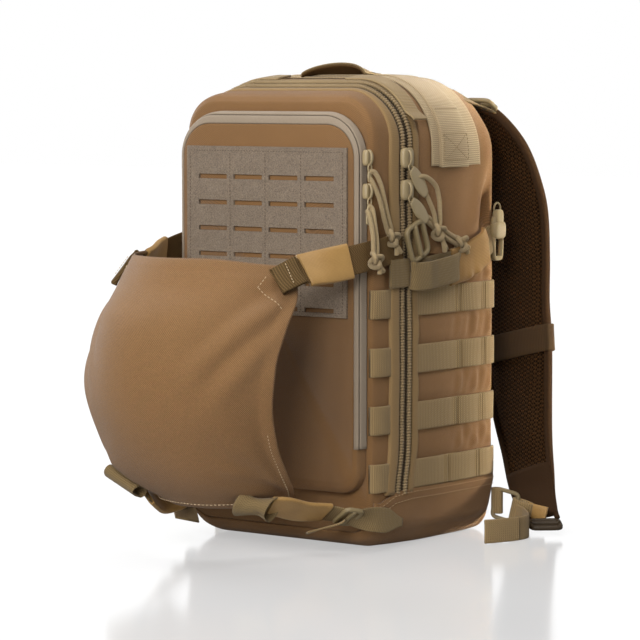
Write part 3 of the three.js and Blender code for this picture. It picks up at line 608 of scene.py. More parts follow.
# Front pocket. A flat zipped pocket of the same nylon over most of the front, with a narrow sloping gusset.
# Its zipper is sewn into the slope with the coil inside, so only two pale tapes and the slit between them
# show; a strip of the dark zipper tape set low in the slit is painted shade of its depth.
POCKET = (  # as for the body
    (-106.5, 94, 62, 372, 14, 28), (-104.5, 97, 56, 378.5, 18, 34), (-100, 98, 52, 382, 20, 38),
    (-92.6, 98, 52, 383, 20, 39))
POCKET_RINGS = (0.99, 0.97, 0.93, 0.85, 0.7, 0.5, 0.3, 0.1)
POCKET_END = 92.0
POCKET_TAPES, POCKET_SLIT_SHADE = ((-106.2, -104.0), (-102.5, -93.6)), (-104.6, -101.9)
pocket_depths = np.r_[-92.6, np.linspace(-93, -104, 16), np.linspace(-104.4, -106.5, 10)]
lay("pocket_cloth", [shell(POCKET, pocket_depths, POCKET_RINGS, 260, soft=False)], pack_nylon,
    ["front_pocket"])


def tape_between(near, far, thin=1.0):
    """Thin tape between two depths of the pocket's slope, outer face then inner face, as a hoop."""
    depth = np.linspace(near, far, 8)
    lift = thin * np.repeat([1.7, 0.3], 8)
    return hoop(POCKET, np.r_[depth, depth[::-1]], lift, POCKET_END, soft=False)


pale_tape = finish("pale_tape", (122, 106, 88), (164, 148, 128), ribs(1.5, 2.4), 0.1, rough=0.8, grain=0.3)
lay("pocket_tapes", [tape_between(*edges) for edges in POCKET_TAPES], pale_tape,
    ["pocket_zipper"])
# Painted shade: a dark strip of zipper tape low in the slit stands for the shade in its depth.
lay("pocket_slit_shade", [tape_between(*POCKET_SLIT_SHADE, thin=0.4)], zip_tape)


# Slotted panel. Loop fabric bonded to a stiff backing, laser cut with rows of slots, and sewn to the pocket
# along its edges and between the columns of slots.
PANEL_HALF, PANEL_LOW, PANEL_HIGH, PANEL_FACE = 89.0, 206.0, 353.5, -109.0
PANEL_HEM, PANEL_COLUMNS = 4.0, (-39.5, 0.0, 39.5)


def loop_tufts(tree, u, v):
    """Tufts of loop pile in close rows; the fast grain breaks them up."""
    return calc(tree, "MULTIPLY", wave(tree, u, 1.7), wave(tree, v, 1.3))


loop_pile = finish("loop_pile", (98, 79, 60), (182, 160, 134), loop_tufts, 0.5, rough=0.95, sheen=0.15,
                   mottle=0.3, patch=160.0, mapped=False, grain=1.6)
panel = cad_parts["loop_panel"]
panel.data.materials.clear()
panel.data.materials.append(loop_pile)
side_x, low_z, high_z = PANEL_HALF - PANEL_HEM, PANEL_LOW + PANEL_HEM, PANEL_HIGH - PANEL_HEM
outline = [(-side_x, low_z), (-side_x, high_z), (side_x, high_z), (side_x, low_z), (-side_x, low_z)]
panel_rows = []
for corners in (outline, *([(x, low_z), (x, high_z)] for x in PANEL_COLUMNS)):
    for (xa, za), (xb, zb) in zip(corners[:-1], corners[1:]):
        t = np.linspace(0, 1, 60)
        line = np.stack([xa + (xb - xa) * t, np.full(60, PANEL_FACE - 0.1), za + (zb - za) * t], axis=1)
        panel_rows += [*stitches(line, np.array([0.0, -1.0, 0.0]), 3.0, 2.1, 0.6)]
panel_thread = sewing_thread("panel_thread", (84, 66, 50), (122, 102, 80))
lay("panel_stitching", panel_rows, panel_thread)


# Side webbing. Four rows of heavy webbing a side, tacked at two places and sewn into the rear seam and under
# the zipper binding, so each length between tacks stands off a little. Short rows continue round the front
# gusset.
ROW_FRONT, ROW_REAR, GUSSET_REAR, GUSSET_FRONT = -35.0, 96.0, -66.0, -91.6
ROW_TACKS = ((34.7, 74.1), (36.9, 74.0), (30.8, 70.3), (17.6, 64.9))
ROW_PUFFS, GUSSET_PUFF = np.array([1.4, 3.0, 2.2]), 1.2
webbing_shape = flat(WEBBING_WIDTH)


def pair(name, grids, material, nodes=()):
    """The same piece on the right and, mirrored, on the left."""
    return [lay(f"{name}_{side}", [grid * (sign, 1, 1) for grid in grids], material,
                [f"{node_name}_{side}" for node_name in nodes])
            for side, sign in (("right", 1), ("left", -1))]


def webbing_row(y, top, puff):
    """Row of webbing along the side below a height, standing off by puff mm."""
    height = top - WEBBING_WIDTH / 2 + webbing_shape[:, 0]
    return skin(BODY, y, drop(BODY, y, height), 1.2 + webbing_shape[:, 1] + puff)


heavy_webbing = finish("heavy_webbing", (94, 70, 38), (172, 146, 102), ribs(2.2, 2.0, 0.6), 0.3, rough=0.8,
                       share=0.9, grain=0.3)
row_y = np.linspace(ROW_FRONT, ROW_REAR, 150)[:, None]
for number, (top, tacks) in enumerate(zip(ROW_TOPS, ROW_TACKS), 1):
    stops = np.r_[ROW_FRONT, tacks, ROW_REAR]
    gap = np.clip(np.searchsorted(stops, row_y) - 1, 0, 2)
    t = (row_y - stops[gap]) / (stops[gap + 1] - stops[gap])
    puff = ROW_PUFFS[gap] * (4 * t * (1 - t))**0.5
    for tack in tacks:
        puff = puff + 1.5 * bell(row_y, tack - 4, 2.4) - 0.5 * bell(row_y, tack, 1.2)
    pair(f"side_webbing_{number}", [webbing_row(row_y, top, puff)], heavy_webbing,
         [f"side_row_{number}"])
gusset_y = np.linspace(GUSSET_REAR, GUSSET_FRONT, 60)[:, None]
gusset_puff = GUSSET_PUFF * np.sin(np.pi * (gusset_y - GUSSET_REAR) / (GUSSET_FRONT - GUSSET_REAR))
gusset_grids = [webbing_row(gusset_y, top, gusset_puff) for top in ROW_TOPS]
pair("gusset_webbing", gusset_grids, heavy_webbing, ["gusset_rows"])


# Top band. A wide strip of webbing with a doubled middle runs over the top. On each side its end carries one
# more layer from a cross seam down, sewn with a crossed box. Beside the zipper a shorter strap goes over each
# front corner, its end turned up.
TOP_BAND_END, CROSS_SEAM = 336.0, 386.0
BAND_STRIPS = (  # front and rear edge, height over the cloth, lower end
    (-9.0, 1.5, 1.3, TOP_BAND_END), (0.5, 43.5, 2.6, TOP_BAND_END - 1), (42.5, 65.0, 1.3, TOP_BAND_END))
END_MIDDLE, END_WIDTH = 22.0, 41.0
CORNER_MIDDLE, CORNER_WIDTH, CORNER_LOW, CORNER_INNER = -32.0, 21.0, 374.0, 38.0
BOX_FRONT, BOX_REAR, BOX_LOW, BOX_HIGH, SEAM_HEIGHT = 4, 40, 341, 363, 383.5
band_webbing = finish("band_webbing", (126, 106, 72), (200, 176, 140), ribs(1.7, 3.0, 0.4), 0.25, rough=0.8,
                      share=0.8, grain=0.3)
band_grids = []
for near, far, lift, low in BAND_STRIPS:
    shape = flat(far - near, 1.9)
    band_grids.append(hoop(BODY, (near + far) / 2 + shape[:, 0], lift + shape[:, 1], low, rows=160))
end_shape = flat(END_WIDTH, 1.5)
end_depth = END_MIDDLE + end_shape[:, 0]
start, stop = drop(BODY, end_depth, CROSS_SEAM), drop(BODY, end_depth, TOP_BAND_END - 1.5)
end_d = start + (stop - start) * np.linspace(0, 1, 50)[:, None]
band_grids += [skin(BODY, end_depth, sign * end_d, 4.2 + end_shape[:, 1]) for sign in (1, -1)]
lay("top_webbing", band_grids, band_webbing, ["top_band"])
corner_webbing = finish("corner_webbing", (104, 84, 52), (176, 150, 108), ribs(1.7, 2.4, 0.4), 0.25,
                        rough=0.8, share=0.8)
corner_shape = flat(CORNER_WIDTH, 2.0)
corner_depth = CORNER_MIDDLE + corner_shape[:, 0]
start = drop(BODY, corner_depth, CORNER_LOW)
corner_d = start + (CORNER_INNER - start) * np.linspace(0, 1, 110)[:, None]
lip = 6.0 * bell(corner_d, start, 6)
corner_grid = skin(BODY, corner_depth, corner_d, 4.2 + corner_shape[:, 1] + lip)
pair("corner_webbing", [corner_grid], corner_webbing, ["corner_strap"])
front_low, front_high = (BOX_FRONT, BOX_LOW), (BOX_FRONT, BOX_HIGH)
rear_low, rear_high = (BOX_REAR, BOX_LOW), (BOX_REAR, BOX_HIGH)
cross_rows = []
for (ya, za), (yb, zb) in ((front_low, rear_high), (front_high, rear_low), (front_low, rear_low),
                           (front_high, rear_high), (front_low, front_high), (rear_low, rear_high),
                           ((BOX_FRONT - 1, SEAM_HEIGHT), (BOX_REAR + 1, SEAM_HEIGHT))):
    t = np.linspace(0, 1, 40)
    y, z = ya + (yb - ya) * t, za + (zb - za) * t
    cross_rows += both_sides(skin(BODY, y, drop(BODY, y, z), 5.5), np.array([1.0, 0, 0.2]))
band_thread = sewing_thread("band_thread", (120, 98, 66), (168, 144, 106))
lay("band_stitching", cross_rows, band_thread)


# Grab handle. A doubled strap of webbing, dark inside and lighter outside, that stands in a low, lopsided
# arch over the top and leans forward; its ends are sewn in behind the zipper.
HANDLE_Y, HANDLE_MIDDLE, HANDLE_HALF, HANDLE_FOOT, HANDLE_PEAK = 0.0, 1.7, 35.6, 415.4, 420.4
HANDLE_SKEW, COVER_GAP = 9.0, 1.7


def matt_webbing(name, deep, pale, weave, depth, share):
    """Dark, dull webbing without sheen."""
    return finish(name, deep, pale, weave, depth, rough=0.8, share=share, sheen=0.0, gloss=0.1)


dark_webbing = matt_webbing("dark_webbing", (62, 42, 22), (104, 80, 48), ribs(2.0, 2.4, 0.5), 0.2, 0.6)
tail_webbing = finish("tail_webbing", (84, 66, 38), (148, 124, 82), ribs(1.9, 2.2, 0.5), 0.25, rough=0.8,
                      share=0.8, grain=0.3)
arch = np.linspace(-1, 1, 80)
rise = (1 - arch**2)**0.7
handle_x = HANDLE_MIDDLE + arch * HANDLE_HALF + HANDLE_SKEW * (1 - arch**2)
handle_z = HANDLE_FOOT + (HANDLE_PEAK - HANDLE_FOOT) * rise
handle_line = np.stack([handle_x, np.full(80, HANDLE_Y), handle_z], axis=1)
handle_lean = np.stack([0 * arch, 1 + 0 * arch, -0.45 * rise], axis=1)
cover_line = handle_line + COVER_GAP * np.array([0, 0.4, 0.9])
lay("handle_webbing", [sweep(handle_line, handle_lean, webbing_shape)], dark_webbing,
    ["grab_handle"])
lay("handle_cover", [sweep(cover_line, handle_lean, flat(WEBBING_WIDTH + 1))], tail_webbing)


# Side compression strap. Webbing crosses the zipper from the front ladder lock and climbs to the rear buckle.
# Its spare length is folded back into a flat loop, and a sleeve of golden vinyl, painted darker as the shade
# on the side, covers the climbing part.
SIDE_STRAP = (  # depth, height
    (-73, 243.4), (-62, 243.5), (-36, 243.8), (10, 244.5), (40, 249), (60, 255.5), (88, 266), (97, 269))
FOLD_FRONT, FOLD_REAR, FOLD_GAP = -46.0, 26.0, 8.0


def along_side(start, end, shape, lift):
    """Profile of heights and lifts carried along the side at the compression strap's height."""
    y = np.linspace(start, end, 120)[:, None]
    over_zip = 3.4 * ease(-y, 20, 34)
    height = hull(SIDE_STRAP, y)[0] + shape[:, 0]
    return skin(BODY, y, drop(BODY, y, height), lift + over_zip + shape[:, 1])


def folded(line, out, gap, across, shape):
    """Webbing doubled back on itself: out along the line and back beside it, the two layers gap mm apart in
    the middle and meeting at both folds."""
    t = np.linspace(0, 1, len(line))[:, None]
    away = out * gap * (4 * t * (1 - t) + 0.02)**0.35
    path = np.concatenate([line, (line + away)[::-1], line[:1]])
    return sweep(path, across, shape)


def smooth_grain(tree, u, v):
    """Grain of coated vinyl: slow crossing waves under the fast grain."""
    return calc(tree, "MULTIPLY", wave(tree, u, 3.1), wave(tree, v, 4.3))


def vinyl(name, deep, pale, rough):
    """Coated vinyl: nearly smooth, in slow patches."""
    return finish(name, deep, pale, smooth_grain, 0.05, rough=rough, share=0.04, mottle=0.5, patch=50.0,
                  grain=0.3)


pair("compression_strap", [along_side(-74, 97, webbing_shape, 1.8)], tail_webbing, ["side_strap"])
fold_y = np.linspace(FOLD_FRONT, FOLD_REAR, 60)
fold_d = drop(BODY, fold_y, 241.5 + (fold_y - FOLD_FRONT) * 0.09)
fold_line = skin(BODY, fold_y, fold_d, 4.4 + 3.0 * ease(-fold_y, 10, 30))
fold_grid = folded(fold_line, np.array([1.0, 0, -0.35]), FOLD_GAP, (0, 0, 1), flat(25, 1.7))
pair("strap_fold", [fold_grid], tail_webbing)
golden_vinyl = vinyl("golden_vinyl", (124, 90, 46), (188, 148, 86), 0.5)
# Painted shade: a darker copy of the golden vinyl, for the sleeve on the shaded side of the pack.
shaded_golden_vinyl = vinyl("shaded_golden_vinyl", (104, 74, 34), (160, 122, 66), 0.6)
pair("side_sleeve", [along_side(17, 78, oval(33, 5.4, 24, 5.0), 4.2)], shaded_golden_vinyl)


# Strap hardware. Ladder locks and buckles moulded in plastic as rounded frames with two slots, and the rear
# buckle, a frame with a hook block and a ring of wire. They hang on the straps that pass through them.
def place(points, at, bars, facing):
    """Local points (along the bars, across them, out of the face) put in place."""
    z = unit(np.array(facing, float))
    x = np.array(bars, float)
    x = unit(x - (x @ z) * z)
    return np.array(at, float) + points @ np.stack([x, np.cross(z, x), z])


def ring_path(middle, first, second, count=49, power=1.0):
    """Closed ellipse: the middle plus cosine times the first half axis plus sine times the second; a power
    below 1 squares it."""
    cosine, sine = square_turn(np.linspace(0, 2 * np.pi, count), power)
    path = np.array(middle, float) + np.outer(cosine, first) + np.outer(sine, second)
    path[-1] = path[0]
    return path


def moulded_frame(width, length, thick, slots, bar=4.2):
    """Frame as a rounded-rectangle ring of rounded section, with straight bars between its slots."""
    half_wide, half_long = (width - bar) / 2, (length - bar) / 2
    ring = ring_path((0, 0, 0), (half_wide, 0, 0), (0, half_long, 0), 73, 0.36)
    grids = [sweep(ring, (0, 0, 1), oval(thick, bar, 12, 3.0))]
    for i in range(1, slots):
        x = np.linspace(-half_wide, half_wide, 12)
        at = np.full(12, -half_long + i * (length - bar) / slots)
        line = np.stack([x, at, np.full(12, 0.6)], axis=1)
        grids.append(sweep(line, (0, 0, 1), oval(thick + 0.6, bar, 12, 3.0)))
    return grids


def block(sizes, square=4.0, rows=15, count=24):
    """Rounded block: oval sections that shrink towards both ends by the same superellipse."""
    t = np.sin(np.linspace(-np.pi / 2, np.pi / 2, rows))
    scale = np.maximum(1 - abs(t)**square, 1e-4)**(1 / square)
    ring = oval(sizes[0], sizes[2], count, square)
    flat_ring = np.stack([ring[:, 0], 0 * ring[:, 0], ring[:, 1]], axis=1)
    grid = flat_ring[None] * scale[:, None, None]
    grid[..., 1] = t[:, None] * sizes[1] / 2
    return grid


def moulded(tree, u, v):
    """Faint mould texture."""
    return calc(tree, "MULTIPLY", wave(tree, u, 0.9), wave(tree, v, 0.7))


def hard(name, deep, pale, rough, mottle, gloss):
    """Moulded plastic or painted metal: nearly smooth, without the sheen of cloth."""
    return finish(name, deep, pale, moulded, 0.03, rough=rough, sheen=0.0, share=0.15, mottle=mottle,
                  gloss=gloss)


tan_plastic = hard("tan_plastic", (108, 92, 62), (146, 128, 92), 0.42, 0.4, 0.4)
dark_plastic = hard("dark_plastic", (44, 34, 22), (70, 56, 38), 0.45, 0.4, 0.3)
HARDWARE = (  # name, width, length, thickness, slots, middle, way of the bars, way it faces, finish
    ("ladder_lock", 34, 30, 4.6, 2, (114.8, -39.4, 271), (0, -0.4, 1), (1, 0, 0), tan_plastic),
    ("lower_buckle", 28, 20, 4.0, 2, (94, -113, 34), (0.82, -0.23, 0.56), (0.46, -0.37, -0.83), tan_plastic),
    ("lifter_buckle", 28, 20, 4.4, 2, (80, 113.5, 389.4), (1, -0.1, -0.05), (0.05, 0.5, 0.86), tan_plastic),
    ("strap_lock", 31, 26, 4.6, 2, (165.4, 91.5, 9.6), (0.75, 0.65, 0), (0.1, -0.12, 1), dark_plastic),
)
for name, width, length, thick, slots, at, bars, facing, material in HARDWARE:
    grids = [place(grid, at, bars, facing) for grid in moulded_frame(width, length, thick, slots)]
    pair(name + "_frame", grids, material, [name])
REAR_BUCKLE = ((105.6, 100.5, 268), (0, 0, 1), (1, 0.1, 0))  # middle, way of the bars, way it faces
hook_wire = sweep(ring_path((27, 0, 0), (5, 0, 0), (0, 6, 0), 41), (0, 0, 1), oval(1.8, 1.8, 8))
buckle_grids = [*moulded_frame(42, 19, 5.0, 1), block((16, 21, 7.6)) + (7.0, 0.0, 1.4),
                block((15, 14, 6.4)) + (18.5, 0.0, 1.0), hook_wire]
pair("rear_buckle", [place(grid, *REAR_BUCKLE) for grid in buckle_grids], tan_plastic,
     ["side_buckle"])


# Zipper pulls. Each slider is a cast and painted body with a bridge. Its leaf-shaped pull plate hangs on a
# wire link through the bridge.
SLIDERS = (  # replaced node, head middle, its width and height, turn of the plate, plate length and width
    ("main_slider_upper", (108.6, -49, 344), (16.0, 18.0), 44, 38, 15.0),
    ("main_slider_lower", (108.6, -49, 316), (16.0, 18.0), 52, 36, 14.0),
    ("pocket_slider_upper", (100.6, -97, 345), (9.0, 14.0), 0, 16, 6.0),
    ("pocket_slider_lower", (100.6, -97, 316), (9.0, 14.0), -8, 24, 6.0))


def tapered(profile, wide, thick):
    """Profile for each point of a line, its width and thickness multiplied by two numbers there."""
    return profile * np.stack(np.broadcast_arrays(wide, thick), axis=1)[:, None]


painted_metal = hard("painted_metal", (132, 114, 80), (178, 158, 120), 0.36, 0.5, 0.5)
for name, head, (head_wide, head_tall), turn, length, width in SLIDERS:
    head, turn = np.array(head, float), np.radians(turn)
    hang = np.array([0, np.sin(turn), -np.cos(turn)])
    beside = np.cross(hang, (1, 0, 0))
    body = block((5.8, head_tall, head_wide))[..., (0, 2, 1)] + head + (1.8, 0, 0)
    t = np.linspace(0, np.pi, 24)
    bridge = head + np.stack([3.6 + 3.4 * np.sin(t), 0 * t, 6.5 * np.cos(t)], axis=1)
    start = head + (4.6, 0, -6.5)
    link = ring_path(start + 2.6 * hang, 3.6 * hang, 2.6 * beside, 33)
    s = np.linspace(0, 1, 30)
    wide = width * (0.42 + 0.58 * np.sin(np.pi * np.clip(s * 0.95 + 0.02, 0, 1))**0.8)
    stem = start + hang * 4.4 + np.outer(s * (length - 6), hang)
    grids = [body, sweep(bridge, (0, 1, 0), oval(3.6, 1.6, 8)), sweep(link, (1, 0, 0), oval(1.5, 1.5, 8)),
             sweep(stem, beside, tapered(oval(1.0, 1.0, 16, 3.5), wide, 2.0))]
    lay(name.replace("slider", "puller"), grids, painted_metal, [name])


# Carrier flap. One piece of nylon, stretched tight into a dome, with a doubled hem all round that is sewn
# down in pale thread. A webbing loop is box-stitched to each corner, and tension folds run in from there.
DOME_MIDDLE, DOME_AXES = np.array([0, -112.0, 165.0]), np.array([129.0, 190.0, 140.0])
FLAP = (  # height, half width as a turn of the dome in degrees
    (46, 68), (60, 64), (80, 58.5), (106, 54), (140, 52), (175, 53), (210, 57), (238, 62), (262, 63))
FLAP_LOW, FLAP_HIGH, FLAP_ARC, HEM, FLAP_THICK = 46.0, 262.0, 150.0, 10.0, 1.6
FOLD_FANS = ((258.0, 1.6, 7.5, 60.0), (50.0, 1.4, 8.0, 40.0))  # corner, height, folds in the fan, reach
CREASES = ((17, 10, 2.2), (0, 9, -3.0), (-16, 9, 1.6), (-31, 9, -1.2))  # place on the slant, width, height


def flap_point(z, angle, offset):
    """Point of the dome at a height and a turn in degrees from straight ahead, moved out along its normal.
    The cloth runs straighter than the dome below its upper edge."""
    height = (z - DOME_MIDDLE[2]) / DOME_AXES[2]
    reach = np.sqrt(1 - height**2) - 0.036 * bell(z, 237, 17)
    turn = np.radians(angle)
    at = np.stack([reach * np.sin(turn), -reach * np.cos(turn), height + 0 * turn], axis=-1)
    return DOME_MIDDLE + at * DOME_AXES + unit(at / DOME_AXES) * np.asarray(offset)[..., None]


def tension(z, s):
    """Folds of the stretched cloth in mm: broad ridges that fan out from the upper and lower corners and die
    away, creases that slant down from the box stitch, smaller ones at the lower corners, a sag on the left,
    and a soft unevenness."""
    out, across = FLAP_ARC * abs(s), FLAP_ARC * (1 - abs(s))
    folds = 0
    for corner, height, count, reach in FOLD_FANS:
        down = abs(corner - z)
        far = np.hypot(across, down) + 1e-6
        fade = (far / reach) * np.exp(1 - far / reach) * ease(far, 4, 20)
        folds = folds + height * np.sin(count * np.arctan2(down, across) - 0.4) * fade
    slant = 0.76 * (out - 121) - 0.65 * (z - 198)
    run = 0.65 * across + 0.76 * (226 - z)
    crease = sum(rise * bell(slant, at, width) for at, width, rise in CREASES)
    crease = crease * ease(run, -6, 22) * (1 - ease(run, 60, 125))
    low_slant = 0.28 * (out - 110) + 0.96 * (z - 78)
    low_crease = 2.0 * bell(low_slant, 0, 7) * ease(out, 72, 100) * ease(across, 4, 20)
    sag = (6.0 * bell(z, 84, 20) - 6.5 * bell(z, 196, 46)) * ease(-s, 0.2, 0.7)
    return folds + crease + low_crease + sag + 0.6 * uneven(FLAP_ARC * s, 0, z, 130.0)


def flap_skin(z, s, offset):
    """Point of the flap at a height and a share s of its half width; its upper right corner is drawn down a
    little."""
    droop = 7.0 * ease(s, 0.35, 1.0) * ((z - FLAP_LOW) / (FLAP_HIGH - FLAP_LOW))**2
    return flap_point(z - droop, hull(FLAP, z)[0] * s, offset)


def flap_out(points):
    """Way straight out of the dome near its surface."""
    return unit((points - DOME_MIDDLE) / DOME_AXES**2)


flap_z = np.linspace(FLAP_LOW, FLAP_HIGH, 130)[:, None]
flap_s = np.linspace(-1, 1, 170)[None]
rim = np.minimum(FLAP_ARC * (1 - abs(flap_s)), (FLAP_HIGH - flap_z) * 1.3)
rim = np.minimum(rim, (flap_z - FLAP_LOW) * 1.5)
hem_lift = 0.9 * (1 - ease(rim, HEM - 1.5, HEM + 1.5)) - 0.5 * bell(rim, HEM - 2.2, 1.2)
flap_lift = -0.4 + hem_lift + tension(flap_z, flap_s) * ease(rim, 0, 14)
flap_outer = flap_skin(flap_z, flap_s, flap_lift)
flap_inner = flap_skin(flap_z, flap_s, flap_lift - FLAP_THICK)
flap_nylon = finish("flap_nylon", (94, 65, 32), (162, 120, 75), plain(1.8), 0.25, rough=0.72, share=1.0,
                    grain=0.9)
flap_grid = np.concatenate([flap_outer, flap_inner[:, ::-1]], axis=1)
flap = lay("flap_cloth", [flap_grid], flap_nylon, ["carrier_flap"])
hem_z, hem_s = np.linspace(FLAP_LOW + 6, FLAP_LOW + 70, 80), np.linspace(-0.95, 0.95, 300)
box_t = np.linspace(0, 1, 30)
hem_lines = [
    (hem_z, 0 * hem_z + 0.952), (hem_z, 0 * hem_z - 0.952), (0 * hem_s + FLAP_LOW + 5.4, hem_s),
    *((251 - 9 * box_t, sign * (0.80 - 0.045 * box_t)) for sign in (1, -1)),
    *((242 - 16.5 * box_t, sign * (0.755 + 0.165 * box_t)) for sign in (1, -1))]
hem_rows = []
for z, s in hem_lines:
    line = flap_skin(z, s, 0.9 + tension(z, s))
    hem_rows += [*stitches(line, flap_out(line), 3.6, 2.6)]
pale_thread = sewing_thread("pale_thread", (170, 144, 108), (208, 184, 148), rough=0.6, share=0.3)
lay("flap_stitching", hem_rows, pale_thread)


# Flap straps. Dark herringbone webbing from each ladder lock through a golden sleeve to the folded corner
# loop; below, a narrower strap from the base tab through a plain buckle to the tube of webbing at the lower
# corner, its spare tail hanging from the buckle.
UPPER_STRAP = (  # place, and the way across
    (110.6, -57, 266, 0, 0, 1), (110, -80, 263.5, 0, 0, 1), (107, -108, 259.5, -0.1, 0, 1),
    (100, -138, 255, -0.25, 0.05, 0.95), (93, -161, 252, -0.5, 0.15, 0.85),
    (88.9, -179.5, 249.8, -0.58, 0.19, 0.78))
LOWER_STRAP = (
    (110.9, -56, 24, 0, 0, 1), (110.3, -72, 27, 0, 0, 1), (107.6, -90, 30, 0.1, 0, 1),
    (99.5, -105, 32.3, 0.6, -0.15, 0.75), (94, -113, 34, 0.8, -0.2, 0.56), (83, -130, 38.5, 0.75, -0.2, 0.6),
    (76, -156, 42, 0.7, -0.2, 0.6), (73, -180, 48.5, 0.7, -0.2, 0.6), (66, -195, 50, 0.7, -0.2, 0.6))
HIGHER_END = (
    (76.5, -147, 39.5, 0.6, -0.15, 0.7), (72, -172, 41, 0.5, -0.15, 0.8), (62, -203, 53, 0.6, -0.15, 0.7))
STRAP_TAIL = (
    (93, -114, 31.5, 0.6, -0.75, 0.15), (87, -118, 27.5, 0.6, -0.75, 0.15), (77, -127, 24, 0.6, -0.75, 0.15),
    (67, -137, 20, 0.6, -0.75, 0.2))
UPPER_ACROSS = np.array([-0.58, 0.19, 0.78])
LOWER_LOOPS = (  # side, both ends of the tube, and how far its outer wall is pulled back from the inner
    ("right", (48, -205, 49), (72.5, -191.5, 50.3), 8.0),
    ("left", (-50.9, -220.1, 56.3), (-84.2, -220.8, 71.2), 0.0))
narrow_strap = flat(22.4)


def ribbon(route, shape, start=0.0, end=1.0, count=90):
    """Strap along part of a route whose points carry the way across."""
    line = smooth_line(route, 200)
    part = line[int(start * 199):int(end * 199) + 1]
    part = smooth_line(part[::6] if len(part) > 40 else part[::2], count)
    return sweep(part[:, :3], part[:, 3:], shape)


def herringbone(tree, u, v):
    """Slanted ribs that turn back every few millimetres across the strap."""
    zigzag = calc(tree, "PINGPONG", u, 4.2)
    return wave(tree, calc(tree, "ADD", v, zigzag), 2.1)


herringbone_webbing = matt_webbing("herringbone_webbing", (64, 46, 26), (124, 98, 62), herringbone, 0.2, 0.8)
pair("upper_webbing", [ribbon(UPPER_STRAP, webbing_shape)], herringbone_webbing, ["upper_strap"])
pair("upper_sleeve", [ribbon(UPPER_STRAP, oval(31, 6.0, 24, 5.0), 0.545, 0.945)], golden_vinyl)
base_tab = tapered(narrow_strap, 0.35 + 0.65 * ease(np.linspace(0, 1, 90), 0.0, 0.16), 1.0)
for side, sign, route in (("right", 1, LOWER_STRAP), ("left", -1, LOWER_STRAP[:-3] + HIGHER_END)):
    strap, sleeve = ribbon(route, base_tab), ribbon(route, oval(26, 4.6, 24, 5.0), 0.55, 0.97)
    lay(f"lower_webbing_strap_{side}", [strap * (sign, 1, 1)], tail_webbing,
        [f"lower_strap_{side}"])
    lay(f"lower_sleeve_{side}", [sleeve * (sign, 1, 1)], golden_vinyl)
pair("strap_tail", [ribbon(STRAP_TAIL, narrow_strap, count=30)], heavy_webbing)
t = np.linspace(0, 1, 24)
upper_loop = flap_point(241 + 8 * t, 54 + 9 * t, 3.0 + 1.0 * t)
upper_out = flap_out(upper_loop)
loop_webbing = matt_webbing("loop_webbing", (58, 42, 22), (118, 94, 60), ribs(2.6, 2.0, 0.4), 0.3, 0.8)
loop_grid = folded(upper_loop, upper_out, 3.0, UPPER_ACROSS, flat(WEBBING_WIDTH, 2.0))
pair("upper_corner_loop", [loop_grid], loop_webbing, ["flap_loop_upper"])
tack_middle = upper_loop[10] + upper_out[10] * 5.2
tack_line = tack_middle + np.outer(np.linspace(-10, 10, 20), unit(UPPER_ACROSS))
pair("loop_stitching", [*stitches(tack_line, upper_out[10], 3.0, 2.2)], pale_thread)
for side, start, end, skew in LOWER_LOOPS:
    start, end = np.array(start, float), np.array(end, float)
    middle, axis, long = (start + end) / 2, unit(end - start), np.linalg.norm(end - start)
    out = flap_out(middle)
    tube = ring_path(middle, 5.6 * out - skew * axis, 9.0 * np.cross(axis, out))
    lay(f"lower_corner_loop_{side}", [sweep(tube, axis, flat(min(long, 44.0)))], tail_webbing,
        [f"flap_loop_lower_{side}"])


# Shoulder straps. Foam pads covered with dark spacer mesh and bound at the edge. A daisy chain of webbing is
# tacked down the outside, a keeper band goes round the pad, and webbing with a ladder lock leads from the tip
# to a ring at the lower rear corner.
PAD = (  # middle line, width and thickness
    (51, 113.5, 385, 40, 10), (57, 120, 380.5, 48, 11), (64.5, 129, 369, 60, 11), (77, 141, 345, 66, 11),
    (86, 150, 315, 66, 11), (88.5, 157, 288, 66, 11), (88, 161, 247, 66, 11), (88, 161, 206, 66, 11),
    (92, 160, 166, 65, 11), (97, 156, 112, 61, 11), (108, 149, 70, 50, 10), (120, 139, 40, 44, 8),
    (134, 127, 22, 34, 5), (147, 114, 15, 28, 3), (157, 102.5, 12, 27, 3))
TIP_HEIGHT, TIP_END, KEEPER, CHAIN = 50, 117, 66, slice(8, 96)  # the last three count along the pad's line
CHAIN_LOOPS, CHAIN_PUFF, KEEPER_SLANT = 9, 5.0, 0.16
LIFTER = (  # place, and the way across
    (76, 80, 398.0, 1, 0, -0.65), (79, 97, 392.5, 1, 0, -0.45), (80.5, 113, 385.6, 1, -0.1, -0.1),
    (81, 128, 377.5, 1, -0.2, 0.1), (80.5, 143, 368, 1, -0.2, 0.2))
LOWER_WEBBING = (
    (128, 98.5, 15, 0, 0, 1), (134, 96, 13.5, 0, 0, 1), (144.2, 90.2, 12, 0, 0, 1),
    (160.6, 71, 11.2, 0, 0, 1), (166.5, 56, 11.2, 0, 0, 1), (163, 34, 11.2, 0, 0, 1),
    (153.5, 15, 11.2, 0, 0, 1), (152.5, 12, 11.2, 0, 0, 1), (155, 12.5, 11.4, 0, 0, 1),
    (161, 24, 11.6, 0, 0, 1), (168.5, 44, 11.8, 0, 0, 1))
GOLDEN_TAB = ((139, 103, 17, 0.2, 0, 1), (147, 104, 15.5, 0.2, 0, 1), (158, 104, 14, 0.3, 0.2, 0.9))
STRAP_RING = ((116.8, 100.0, 22.0), (0.24, 0.03, 1), (0.3, -0.95, 0))  # middle, way of the bars, way it faces


def spacer(tree, u, v):
    """Spacer mesh: rows of open cells set like bricks, from three waves sixty degrees apart."""
    a = wave(tree, u, 3.4)
    b = wave(tree, calc(tree, "MULTIPLY_ADD", v, 1.7320508, u), 6.8)
    c = wave(tree, calc(tree, "MULTIPLY_ADD", v, -1.7320508, u), 6.8)
    return calc(tree, "MULTIPLY", a, calc(tree, "ADD", b, c))


